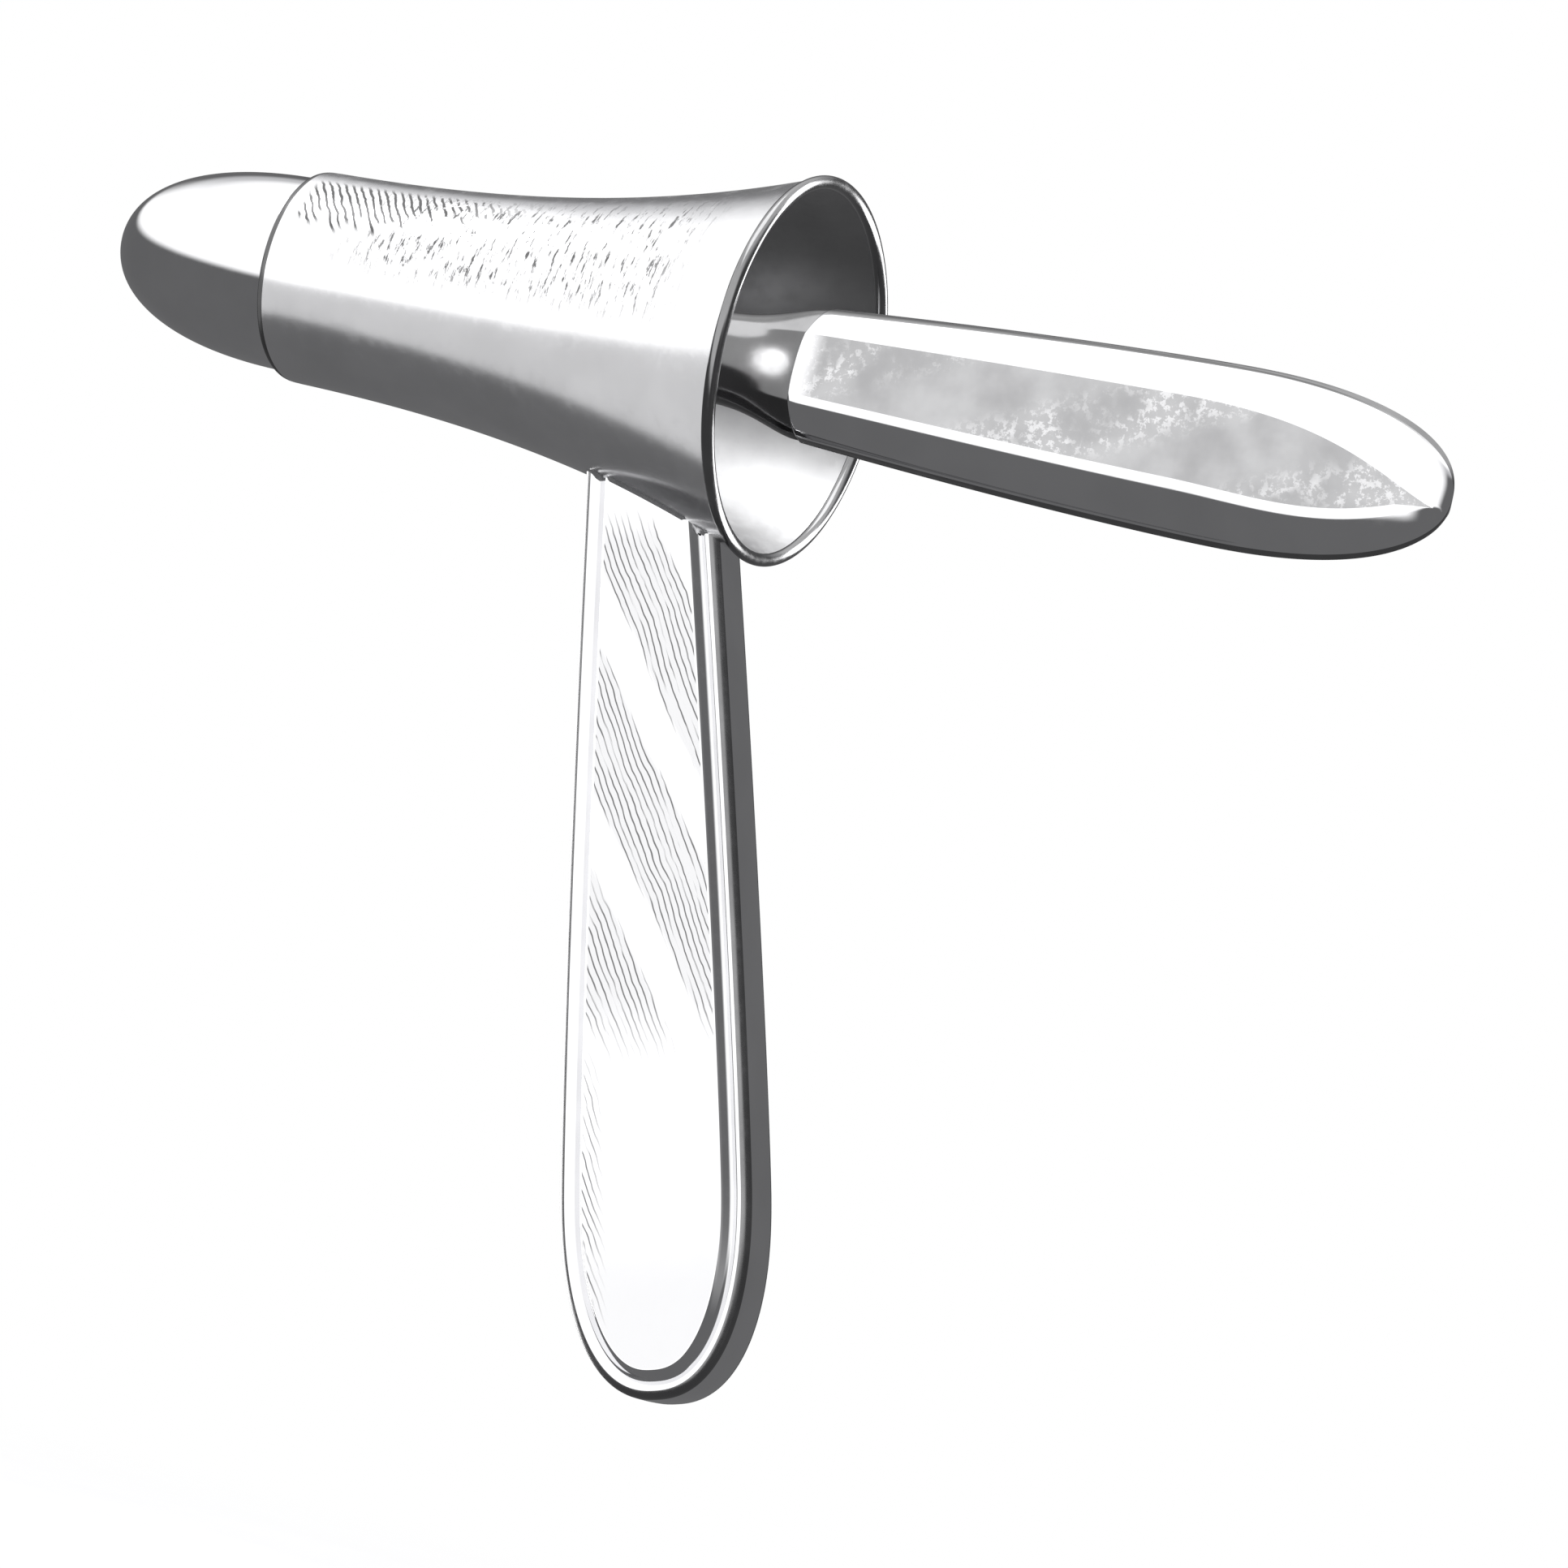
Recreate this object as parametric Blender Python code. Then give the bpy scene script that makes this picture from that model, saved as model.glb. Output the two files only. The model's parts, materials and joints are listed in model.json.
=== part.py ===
"""Tubular anoscope in polished stainless steel, with its obturator seated. Metres, +Z up.

The origin is where the handle's centreline meets the tube's axis. +X runs along the tube's axis, out of the
mouth and towards the user's eye. The handle hangs below the tube and leans towards the mouth.
The obturator is the moving part: it slides out of the mouth along +X.
"""

import math

import bmesh
import bpy
from mathutils import Vector

MM = 0.001
GAP = 0.3 * MM  # between pieces that touch
ROUND_SEGMENTS = 40
SUPERELLIPSE = 2.3  # the bullet nose and both paddle ends are a little fuller than an ellipse
SHARP_EDGE = math.radians(35)

# Tube
MOUTH_X = 19.6 * MM
TUBE_LENGTH = 69.0 * MM
MOUTH_RADIUS = 24.0 * MM
DISTAL_RADIUS = 13.35 * MM
TUBE_WALL = 0.8 * MM
FLARE_POWER = 2.35
CONE_SHARE = 0.1  # the part of the widening that is a plain cone
TUBE_STATIONS = 12
TUBE_LIP = 0.25 * MM  # chamfer at the distal end
BEAD_RADIUS = 0.8 * MM
BEAD_SIDES = 8
DISTAL_X = MOUTH_X - TUBE_LENGTH
TUBE_END_X = MOUTH_X - 2 * BEAD_RADIUS - GAP

# Handle, in its own frame: -Z runs down the handle and X across it
HANDLE_LEAN = math.radians(16.6)
HANDLE_ROOT = 8.0 * MM  # inside the tube, before the coped cut
HANDLE_WIDEST = 105.0 * MM
HANDLE_END = 129.4 * MM
HANDLE_ROOT_HALF = 8.0 * MM
HANDLE_MAX_HALF = 12.4 * MM
HANDLE_SWELL = 1.3
HANDLE_HALF_THICK = 4.1 * MM
PANEL_RISE = 0.6 * MM  # the flat panel stands this far above the rim
SHELL_WALL = 1.0 * MM
SIDE_STATIONS = 10
END_STATIONS = 8  # each side of the tip
SLOPE_STEP = 0.05 * MM  # over which the slope of the handle's edge is taken

# Insets from the handle's edge, and heights below or above its rim
SIDE_BAND_DROP = 0.9 * MM
CORNER_INSET = 0.3 * MM
CORNER_DROP = 0.25 * MM
RIM_INSET = 1.0 * MM
RIM_END_INSET = 1.9 * MM
COVE_INSET = 3.0 * MM
COVE_RISE = 0.2 * MM
PANEL_INSET = 3.4 * MM
INNER_CORNER = 0.5 * MM
INNER_PANEL_INSET = 3.8 * MM

# The tube's shape as a cutter for the handle's root
COPE_REACH = 48.0 * MM  # back from the mouth
COPE_DEPTH_LIMIT = 40.0 * MM
COPE_HALVINGS = 40

# Saddle and tang inside the handle
SADDLE_HALF = HANDLE_ROOT_HALF - SHELL_WALL - GAP
SADDLE_DEPTH = 32.0 * MM
SADDLE_TAPER = 4.0 * MM
TANG_HALF = 3.5 * MM
TANG_DEPTH = 78.0 * MM
TANG_TIP_CHAMFER = 2.0 * MM
SADDLE_HALF_THICK = HANDLE_HALF_THICK - SHELL_WALL - GAP

# Braze bead
BRAZE_RADIUS = 0.55 * MM
BRAZE_SIDES = 6
BRAZE_CORNER = 0.6 * MM

# Obturator
NOSE_LENGTH = 26.6 * MM
NOSE_LAND = 6.0 * MM  # the straight part inside the tube's tip
NOSE_STATIONS = 9
NOSE_CROWN_WALL = 1.5 * MM
BARREL_WALL = 1.0 * MM
SPIGOT_LENGTH = 4.0 * MM
SLEEVE_END_X = -15.0 * MM
SLEEVE_STATIONS = 6
CONE_END_X = 6.0 * MM
CONE_STATIONS = 6
NECK_RADIUS = 5.7 * MM
NECK_SPIGOT_X = -1.0 * MM
NECK_STATIONS = 9
NECK_LATENESS = 1.6  # the neck stays round for the first part of its length
ROUND_POWER = 2.0
NECK_END_POWER = 2.6

# Grip
GRIP_X = 21.3 * MM
GRIP_WIDEST_X = 76.0 * MM
GRIP_END_X = 103.9 * MM
GRIP_ROOT_HALF = 8.4 * MM
GRIP_MAX_HALF = 11.0 * MM
GRIP_SWELL = 1.55
GRIP_HALF_THICK = 4.0 * MM
GRIP_TIP_HALF_THICK = 2.2 * MM
GRIP_PANEL_SHARE = 0.5  # of the grip's height
SHOULDER_BULGE = 0.06  # of the grip's half height, at the middle of each shoulder
SHOULDER_THICK_SHARE = 0.62  # of the half thickness, at the middle of each shoulder
HOLLOW_MIN_HALF = 3.5 * MM  # the hollow stops where the grip gets narrower than this
TIP_SEAM_SHARE = 0.7
GRIP_TANG_END_X = 62.0 * MM
GRIP_TANG_HALF = 3.2 * MM


def clear_scene():
    for item in list(bpy.data.objects):
        bpy.data.objects.remove(item, do_unlink=True)


def steel(name, colour=(0.72, 0.72, 0.74), roughness=0.12):
    made = bpy.data.materials.new(name)
    made.use_nodes = True
    shader = made.node_tree.nodes["Principled BSDF"]
    shader.inputs["Base Color"].default_value = (*colour, 1.0)
    shader.inputs["Metallic"].default_value = 1.0
    shader.inputs["Roughness"].default_value = roughness
    return made


def add_object(name, mesh, material, parent=None, sharp=SHARP_EDGE):
    """Links a mesh as a named piece, shaded smooth but for its real edges."""
    mesh.materials.append(material)
    mesh.shade_smooth()
    mesh.set_sharp_from_angle(angle=sharp)
    made = bpy.data.objects.new(name, mesh)
    bpy.context.scene.collection.objects.link(made)
    made.parent = parent
    return made


def mesh_from(name, points, faces):
    """A mesh with its faces turned outwards."""
    mesh = bpy.data.meshes.new(name)
    mesh.from_pydata([tuple(p) for p in points], [], faces)
    work = bmesh.new()
    work.from_mesh(mesh)
    bmesh.ops.recalc_face_normals(work, faces=work.faces)
    work.to_mesh(mesh)
    work.free()
    return mesh


def turned(name, profile, segments=ROUND_SEGMENTS):
    """Turns a closed profile of (x, radius) about the X axis. A point of radius 0 becomes one vertex."""
    points, rings = [], []
    for x, radius in profile:
        count = segments if radius > 0 else 1
        rings.append([len(points) + k for k in range(count)])
        for k in range(count):
            turn = math.tau * k / segments
            points.append((x, radius * math.sin(turn), radius * math.cos(turn)))
    faces = []
    for first, second in zip(rings, rings[1:] + rings[:1]):
        for k in range(segments):
            corners = [first[k % len(first)], first[(k + 1) % len(first)]]
            corners += [second[(k + 1) % len(second)], second[k % len(second)]]
            corners = list(dict.fromkeys(corners))
            if len(corners) > 2:
                faces.append(corners)
    return mesh_from(name, points, faces)


def lofted(name, sections):
    """Joins closed sections of equal point counts and caps both ends."""
    points = [p for section in sections for p in section]
    count = len(sections[0])
    faces = [list(range(count)), list(range(len(points) - count, len(points)))]
    for row in range(len(sections) - 1):
        for k in range(count):
            near, far = row * count, (row + 1) * count
            faces.append([near + k, near + (k + 1) % count, far + (k + 1) % count, far + k])
    return mesh_from(name, points, faces)


def swept_ring(name, path, radius, sides):
    """A round bead along a closed path."""
    sections, count = [], len(path)
    for k, point in enumerate(path):
        along = (path[(k + 1) % count] - path[k - 1]).normalized()
        outward = (Vector((0, 0, 1)) - along * along.z).normalized()
        across = along.cross(outward)
        turns = [math.tau * s / sides for s in range(sides)]
        sections.append([point + radius * (outward * math.cos(t) + across * math.sin(t)) for t in turns])
    points = [p for section in sections for p in section]
    faces = []
    for row in range(count):
        near, far = row * sides, (row + 1) % count * sides
        for s in range(sides):
            faces.append([near + s, near + (s + 1) % sides, far + (s + 1) % sides, far + s])
    return mesh_from(name, points, faces)


def spread(low, high, count):
    return [low + (high - low) * k / (count - 1) for k in range(count)]


def tube_radius(x):
    """Outer radius of the tube: a gentle cone at the tip that flares towards the mouth."""
    u = (x - DISTAL_X) / TUBE_LENGTH
    widening = (1 - CONE_SHARE) * u**FLARE_POWER + CONE_SHARE * u
    return DISTAL_RADIUS + (MOUTH_RADIUS - DISTAL_RADIUS) * widening


def paddle_half_width(along, root, widest, end, root_half, max_half, swell):
    """Half width of a paddle that swells from its root to its widest place and has a rounded end."""
    if along <= widest:
        return max_half - (max_half - root_half) * (1 - (along - root) / (widest - root)) ** swell
    share = min(1.0, (along - widest) / (end - widest))
    return max_half * (1 - share**SUPERELLIPSE) ** (1 / SUPERELLIPSE)


def handle_half_width(depth):
    sizes = (HANDLE_ROOT, HANDLE_WIDEST, HANDLE_END, HANDLE_ROOT_HALF, HANDLE_MAX_HALF, HANDLE_SWELL)
    return paddle_half_width(depth, *sizes)


def grip_half_height(x):
    sizes = (GRIP_X, GRIP_WIDEST_X, GRIP_END_X, GRIP_ROOT_HALF, GRIP_MAX_HALF, GRIP_SWELL)
    return paddle_half_width(x, *sizes)


def make_tube(material):
    stations = spread(DISTAL_X, TUBE_END_X, TUBE_STATIONS)
    outer = [(x, tube_radius(x)) for x in stations]
    outer[0] = (DISTAL_X + TUBE_LIP, tube_radius(DISTAL_X))
    outer.insert(0, (DISTAL_X, tube_radius(DISTAL_X) - TUBE_LIP))
    inner = [(x, tube_radius(x) - TUBE_WALL) for x in reversed(stations)]
    return add_object("speculum_tube", turned("speculum_tube", outer + inner), material)


def make_mouth_bead(material):
    middle_x, middle_radius = MOUTH_X - BEAD_RADIUS, MOUTH_RADIUS - BEAD_RADIUS
    circle = []
    for k in range(BEAD_SIDES):
        turn = math.tau * k / BEAD_SIDES
        circle.append((middle_x + BEAD_RADIUS * math.cos(turn), middle_radius + BEAD_RADIUS * math.sin(turn)))
    return add_object("mouth_bead_ring", turned("mouth_bead_ring", circle), material)


def make_cope_cutter():
    """The tube's outer shape plus the gap, which cuts the top of the handle to fit the tube."""
    stations = spread(MOUTH_X - COPE_REACH, MOUTH_X, TUBE_STATIONS)
    profile = [(stations[0], 0.0)] + [(x, tube_radius(x) + GAP) for x in stations] + [(stations[-1], 0.0)]
    cutter = bpy.data.objects.new("cope_cutter", turned("cope_cutter", profile))
    bpy.context.scene.collection.objects.link(cutter)
    cutter.hide_render = True
    cutter.display_type = "WIRE"
    return cutter


def cope(piece, cutter):
    cut = piece.modifiers.new("cope", "BOOLEAN")
    cut.operation = "DIFFERENCE"
    cut.solver = "EXACT"
    cut.object = cutter


def handle_outline():
    """The handle's edge as (across, depth) points with inward normals, down one side and up the other."""
    straight = spread(HANDLE_ROOT, HANDLE_WIDEST, SIDE_STATIONS)
    swing = [0.5 * math.pi * k / END_STATIONS for k in range(1, END_STATIONS)]
    reach = HANDLE_END - HANDLE_WIDEST
    rounded = [HANDLE_WIDEST + reach * math.sin(t) ** (2 / SUPERELLIPSE) for t in swing]
    side = [(handle_half_width(d), d) for d in straight + rounded]
    edge = side + [(0.0, HANDLE_END)] + [(-w, d) for w, d in reversed(side)]
    outline = []
    for across, depth in edge:
        if across == 0.0:
            outline.append((across, depth, 0.0, -1.0))
            continue
        low, high = max(HANDLE_ROOT, depth - SLOPE_STEP), min(HANDLE_END - SLOPE_STEP, depth + SLOPE_STEP)
        slope = (handle_half_width(high) - handle_half_width(low)) / (high - low)
        size = math.hypot(1.0, slope)
        outline.append((across, depth, -math.copysign(1 / size, across), slope / size))
    return outline


def handle_shell_rings():
    """(inset, height) rings: the outer face from the seam to the panel, then the inner face back."""
    rim = HANDLE_HALF_THICK
    outer = [(0.0, GAP / 2), (0.0, rim - SIDE_BAND_DROP), (CORNER_INSET, rim - CORNER_DROP)]
    outer += [(RIM_INSET, rim), (RIM_END_INSET, rim), (COVE_INSET, rim + COVE_RISE)]
    outer += [(PANEL_INSET, rim + PANEL_RISE)]
    floor = rim - SHELL_WALL
    inner = [(SHELL_WALL, GAP / 2), (SHELL_WALL, floor - INNER_CORNER), (SHELL_WALL + INNER_CORNER, floor)]
    inner += [(COVE_INSET, floor), (INNER_PANEL_INSET, floor + PANEL_RISE)]
    return outer, inner


def make_handle_shell(name, side, parent, cutter, material):
    """One pressed half of the handle. side is -1 for the front half and 1 for the back half."""
    outline = handle_outline()
    count = len(outline)
    outer, inner = handle_shell_rings()
    points = []
    for inset, height in outer + inner:
        for across, depth, in_across, in_depth in outline:
            at_root = depth == HANDLE_ROOT
            shift = 0.0 if at_root else in_depth * inset
            points.append((across + in_across * inset, side * height, -(depth + shift)))
    faces = []

    def band(first, second):
        near, far = first * count, second * count
        for k in range(count - 1):
            faces.append([near + k, near + k + 1, far + k + 1, far + k])

    def floor(ring):
        start = ring * count
        for k in range(count // 2):
            corners = [start + k, start + k + 1, start + count - 2 - k, start + count - 1 - k]
            faces.append(list(dict.fromkeys(corners)))

    last_outer, first_inner = len(outer) - 1, len(outer)
    last_inner = len(outer) + len(inner) - 1
    for ring in range(last_outer):
        band(ring, ring + 1)
    for ring in range(first_inner, last_inner):
        band(ring, ring + 1)
    band(0, first_inner)
    floor(last_outer)
    floor(last_inner)
    left = [ring * count for ring in range(last_outer + 1)]
    right = [ring * count + count - 1 for ring in range(last_outer, -1, -1)]
    back = [ring * count + count - 1 for ring in range(first_inner, last_inner + 1)]
    forth = [ring * count for ring in range(last_inner, first_inner - 1, -1)]
    faces.append(left + right + back + forth)
    shell = add_object(name, mesh_from(name, points, faces), material, parent)
    cope(shell, cutter)
    return shell


def make_saddle(parent, cutter, material):
    """The block that fills the handle's root under the tube, with its tang down the handle."""
    half = SADDLE_HALF_THICK
    side = [(SADDLE_HALF, HANDLE_ROOT), (SADDLE_HALF, SADDLE_DEPTH - SADDLE_TAPER), (TANG_HALF, SADDLE_DEPTH)]
    side += [(TANG_HALF, TANG_DEPTH - TANG_TIP_CHAMFER), (TANG_HALF - TANG_TIP_CHAMFER, TANG_DEPTH)]
    edge = side + [(-a, d) for a, d in reversed(side)]
    sections = [[Vector((a, y, -d)) for a, d in edge] for y in (-half, half)]
    saddle = add_object("handle_saddle", lofted("handle_saddle", sections), material, parent)
    cope(saddle, cutter)
    return saddle


def rounded_loop(half_long, half_short, radius, corner_steps=4, long_steps=6, short_steps=3):
    """Points (long, short) round a rectangle with rounded corners, with extra points on its sides."""
    loop = []
    corners = [(1, 1, 0.0), (-1, 1, 0.5), (-1, -1, 1.0), (1, -1, 1.5)]

    def on_corner(corner, half_turns):
        turn = math.pi * half_turns
        across = corner[0] * (half_long - radius) + radius * math.cos(turn)
        return across, corner[1] * (half_short - radius) + radius * math.sin(turn)

    for k, corner in enumerate(corners):
        for step in range(corner_steps + 1):
            loop.append(on_corner(corner, corner[2] + 0.5 * step / corner_steps))
        following = corners[(k + 1) % 4]
        target = on_corner(following, following[2])
        steps = long_steps if k % 2 == 0 else short_steps
        last = loop[-1]
        for step in range(1, steps):
            share = step / steps
            loop.append((last[0] + (target[0] - last[0]) * share, last[1] + (target[1] - last[1]) * share))
    return loop


def handle_to_world(across, y, depth):
    """A point of the handle's frame, in world coordinates."""
    sine, cosine = math.sin(HANDLE_LEAN), math.cos(HANDLE_LEAN)
    return Vector((across * cosine + depth * sine, y, across * sine - depth * cosine))


def make_handle_braze(material):
    """The fillet of braze round the handle's root, where the handle meets the tube."""
    stand_off = GAP + BRAZE_RADIUS
    root_half = handle_half_width(HANDLE_ROOT)
    half_thick = HANDLE_HALF_THICK + PANEL_RISE
    loop = rounded_loop(root_half + stand_off, half_thick + stand_off, stand_off + BRAZE_CORNER)
    path = []
    for across, y in loop:
        low, high = HANDLE_ROOT, COPE_DEPTH_LIMIT
        for _ in range(COPE_HALVINGS):
            depth = (low + high) / 2
            swell = math.copysign(handle_half_width(depth) - root_half, across)
            place = handle_to_world(across + swell, y, depth)
            inside = math.hypot(place.y, place.z) < tube_radius(place.x) + stand_off
            low, high = (depth, high) if inside else (low, depth)
        path.append(place)
    mesh = swept_ring("handle_braze_bead", path, BRAZE_RADIUS, BRAZE_SIDES)
    return add_object("handle_braze_bead", mesh, material)


def barrel_radius(x):
    """Outer radius of the obturator's barrel, a running gap inside the tube."""
    return tube_radius(max(x, DISTAL_X)) - TUBE_WALL - GAP


def make_nose(parent, material):
    """The bullet nose: a spun shell with a straight land and a spigot that enters the sleeve."""
    radius, land_end = barrel_radius(DISTAL_X), DISTAL_X + NOSE_LAND
    turns = [0.5 * math.pi * k / NOSE_STATIONS for k in range(NOSE_STATIONS + 1)]
    power = 2 / SUPERELLIPSE

    def dome(length, half):
        return [(DISTAL_X - length * math.cos(t) ** power, half * math.sin(t) ** power) for t in turns]

    spigot = radius - BARREL_WALL - GAP
    spigot_end = land_end + SPIGOT_LENGTH
    outer = dome(NOSE_LENGTH, radius) + [(land_end, radius), (land_end, spigot), (spigot_end, spigot)]
    bore = spigot - BARREL_WALL
    inner = [(spigot_end, bore)] + list(reversed(dome(NOSE_LENGTH - NOSE_CROWN_WALL, bore)))
    outer[0], inner[-1] = (outer[0][0], 0.0), (inner[-1][0], 0.0)
    mesh = turned("obturator_nose", outer + inner)
    return add_object("obturator_nose", mesh, material, parent)


def make_sleeve(parent, material):
    start = DISTAL_X + NOSE_LAND + GAP
    stations = spread(start, SLEEVE_END_X, SLEEVE_STATIONS)
    outer = [(x, barrel_radius(x)) for x in stations]
    inner = [(x, barrel_radius(x) - BARREL_WALL) for x in reversed(stations)]
    mesh = turned("obturator_sleeve", outer + inner)
    return add_object("obturator_sleeve", mesh, material, parent)


def cone_radius(x):
    """The shoulder eases from the barrel's radius to the neck's."""
    share = (x - SLEEVE_END_X) / (CONE_END_X - SLEEVE_END_X)
    ease = 0.5 - 0.5 * math.cos(math.pi * share)
    return barrel_radius(SLEEVE_END_X) + (NECK_RADIUS - barrel_radius(SLEEVE_END_X)) * ease


def make_rear_cone(parent, material):
    start = SLEEVE_END_X + GAP
    stations = spread(start, CONE_END_X, CONE_STATIONS)
    spigot = barrel_radius(SLEEVE_END_X) - BARREL_WALL - 2 * GAP
    back = start - SPIGOT_LENGTH
    outer = [(back, spigot), (start, spigot)] + [(x, cone_radius(x)) for x in stations]
    inner = [(x, cone_radius(x) - BARREL_WALL) for x in reversed(stations)]
    inner[-1] = (start, spigot - BARREL_WALL)
    mesh = turned("obturator_rear_cone", outer + inner + [(back, spigot - BARREL_WALL)])
    return add_object("obturator_rear_cone", mesh, material, parent)


def oval_section(x, half_height, half_thick, power, count=24):
    """A superellipse across the X axis, tall in Z."""
    section = []
    for k in range(count):
        turn = math.tau * k / count
        c, s = math.cos(turn), math.sin(turn)
        height = math.copysign(abs(c) ** (2 / power), c) * half_height
        thick = math.copysign(abs(s) ** (2 / power), s) * half_thick
        section.append(Vector((x, thick, height)))
    return section


def make_neck(parent, material):
    """The waisted neck: a round spigot in the cone, a flare up to the grip, and a tang inside the grip."""
    spigot = NECK_RADIUS - BARREL_WALL - GAP
    start, end = CONE_END_X + GAP, GRIP_X - GAP
    sections = [oval_section(x, spigot, spigot, ROUND_POWER) for x in (NECK_SPIGOT_X, start)]
    for x in spread(start, end, NECK_STATIONS):
        share = ((x - start) / (end - start)) ** NECK_LATENESS
        ease = share * share * (3 - 2 * share)
        height = NECK_RADIUS + (GRIP_ROOT_HALF - NECK_RADIUS) * ease
        thick = NECK_RADIUS + (GRIP_HALF_THICK - NECK_RADIUS) * ease
        power = ROUND_POWER + (NECK_END_POWER - ROUND_POWER) * ease
        sections.append(oval_section(x, height, thick, power))
    tang_thick = GRIP_HALF_THICK - SHELL_WALL - 3 * GAP
    for x in (end, GRIP_TANG_END_X):
        sections.append(oval_section(x, GRIP_TANG_HALF, tang_thick, NECK_END_POWER))
    return add_object("obturator_neck", lofted("obturator_neck", sections), material, parent)


def grip_half_thick(x):
    share = max(0.0, (x - GRIP_WIDEST_X) / (GRIP_END_X - GRIP_WIDEST_X))
    return GRIP_HALF_THICK + (GRIP_TIP_HALF_THICK - GRIP_HALF_THICK) * share**2


def grip_section(x, inset):
    """(z, height) points of one half's face, from the lower seam over the flat panel to the upper seam."""
    half, thick = grip_half_height(x) - inset, grip_half_thick(x) - inset
    panel = GRIP_PANEL_SHARE * half
    middle = 0.5 * (half + panel) + SHOULDER_BULGE * half
    shoulder = [(half, GAP / 2), (middle, SHOULDER_THICK_SHARE * thick), (panel, thick)]
    return [(-z, y) for z, y in shoulder] + [(z, y) for z, y in reversed(shoulder)]


def make_grip_shell(name, side, parent, material):
    """One pressed half of the grip: a flat panel between two sloping shoulders that meet at the tip."""
    body = spread(GRIP_X, GRIP_WIDEST_X, SIDE_STATIONS)
    swing = [0.5 * math.pi * k / END_STATIONS for k in range(1, END_STATIONS)]
    reach = GRIP_END_X - GRIP_WIDEST_X
    ends = [GRIP_WIDEST_X + reach * math.sin(t) ** (2 / SUPERELLIPSE) for t in swing]
    outer = [[(x, side * y, z) for z, y in grip_section(x, 0.0)] for x in body + ends]
    closed = [x for x in body + ends if grip_half_height(x) > HOLLOW_MIN_HALF]
    inner = [[(x, side * y, z) for z, y in grip_section(x, SHELL_WALL)] for x in closed]
    points = [p for section in outer + inner for p in section]
    width = len(outer[0])
    tip = len(points)
    points.append((GRIP_END_X, side * GAP / 2, 0.0))
    points.append((GRIP_END_X, side * TIP_SEAM_SHARE * GRIP_TIP_HALF_THICK, 0.0))
    faces = []

    def strip(first, second):
        near, far = first * width, second * width
        for k in range(width - 1):
            faces.append([near + k, near + k + 1, far + k + 1, far + k])

    rows, inner_rows = len(outer), len(inner)
    for row in range(rows - 1):
        strip(row, row + 1)
    for row in range(rows, rows + inner_rows - 1):
        strip(row, row + 1)
    last = (rows - 1) * width
    for k in range(width - 1):
        faces.append([last + k, last + k + 1, tip + 1])
    inner_last = (rows + inner_rows - 1) * width
    faces.append([inner_last + k for k in range(width)])
    root = list(range(width)) + [rows * width + k for k in range(width - 1, -1, -1)]
    faces.append(root)
    high = [row * width + width - 1 for row in range(rows - 1, -1, -1)]
    inside_low = [(rows + row) * width for row in range(inner_rows - 1, -1, -1)]
    inside_high = [(rows + row) * width + width - 1 for row in range(inner_rows)]
    seam = [row * width for row in range(rows)] + [tip] + high + inside_high + inside_low
    faces.append(seam)
    faces.append([last, tip + 1, tip])
    faces.append([last + width - 1, tip, tip + 1])
    return add_object(name, mesh_from(name, points, faces), material, parent)


def add_empty(name):
    made = bpy.data.objects.new(name, None)
    bpy.context.scene.collection.objects.link(made)
    return made


def main():
    clear_scene()
    cutter = make_cope_cutter()
    handle_axis = add_empty("handle_axis")
    handle_axis.rotation_euler = (0.0, -HANDLE_LEAN, 0.0)
    slide_axis = add_empty("slide_axis")
    make_tube(steel("tube_steel"))
    make_mouth_bead(steel("bead_steel"))
    make_handle_shell("handle_shell_front", -1, handle_axis, cutter, steel("handle_front_steel"))
    make_handle_shell("handle_shell_back", 1, handle_axis, cutter, steel("handle_back_steel"))
    make_saddle(handle_axis, cutter, steel("saddle_steel", roughness=0.4))
    make_handle_braze(steel("handle_braze", (0.82, 0.80, 0.74), 0.25))
    make_nose(slide_axis, steel("nose_steel"))
    make_sleeve(slide_axis, steel("sleeve_steel"))
    make_rear_cone(slide_axis, steel("cone_steel"))
    make_neck(slide_axis, steel("neck_steel"))
    make_grip_shell("grip_shell_front", -1, slide_axis, steel("grip_front_steel"))
    make_grip_shell("grip_shell_back", 1, slide_axis, steel("grip_back_steel"))


main()
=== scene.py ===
import json
import math

import bmesh
import bpy
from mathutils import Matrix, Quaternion, Vector


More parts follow.
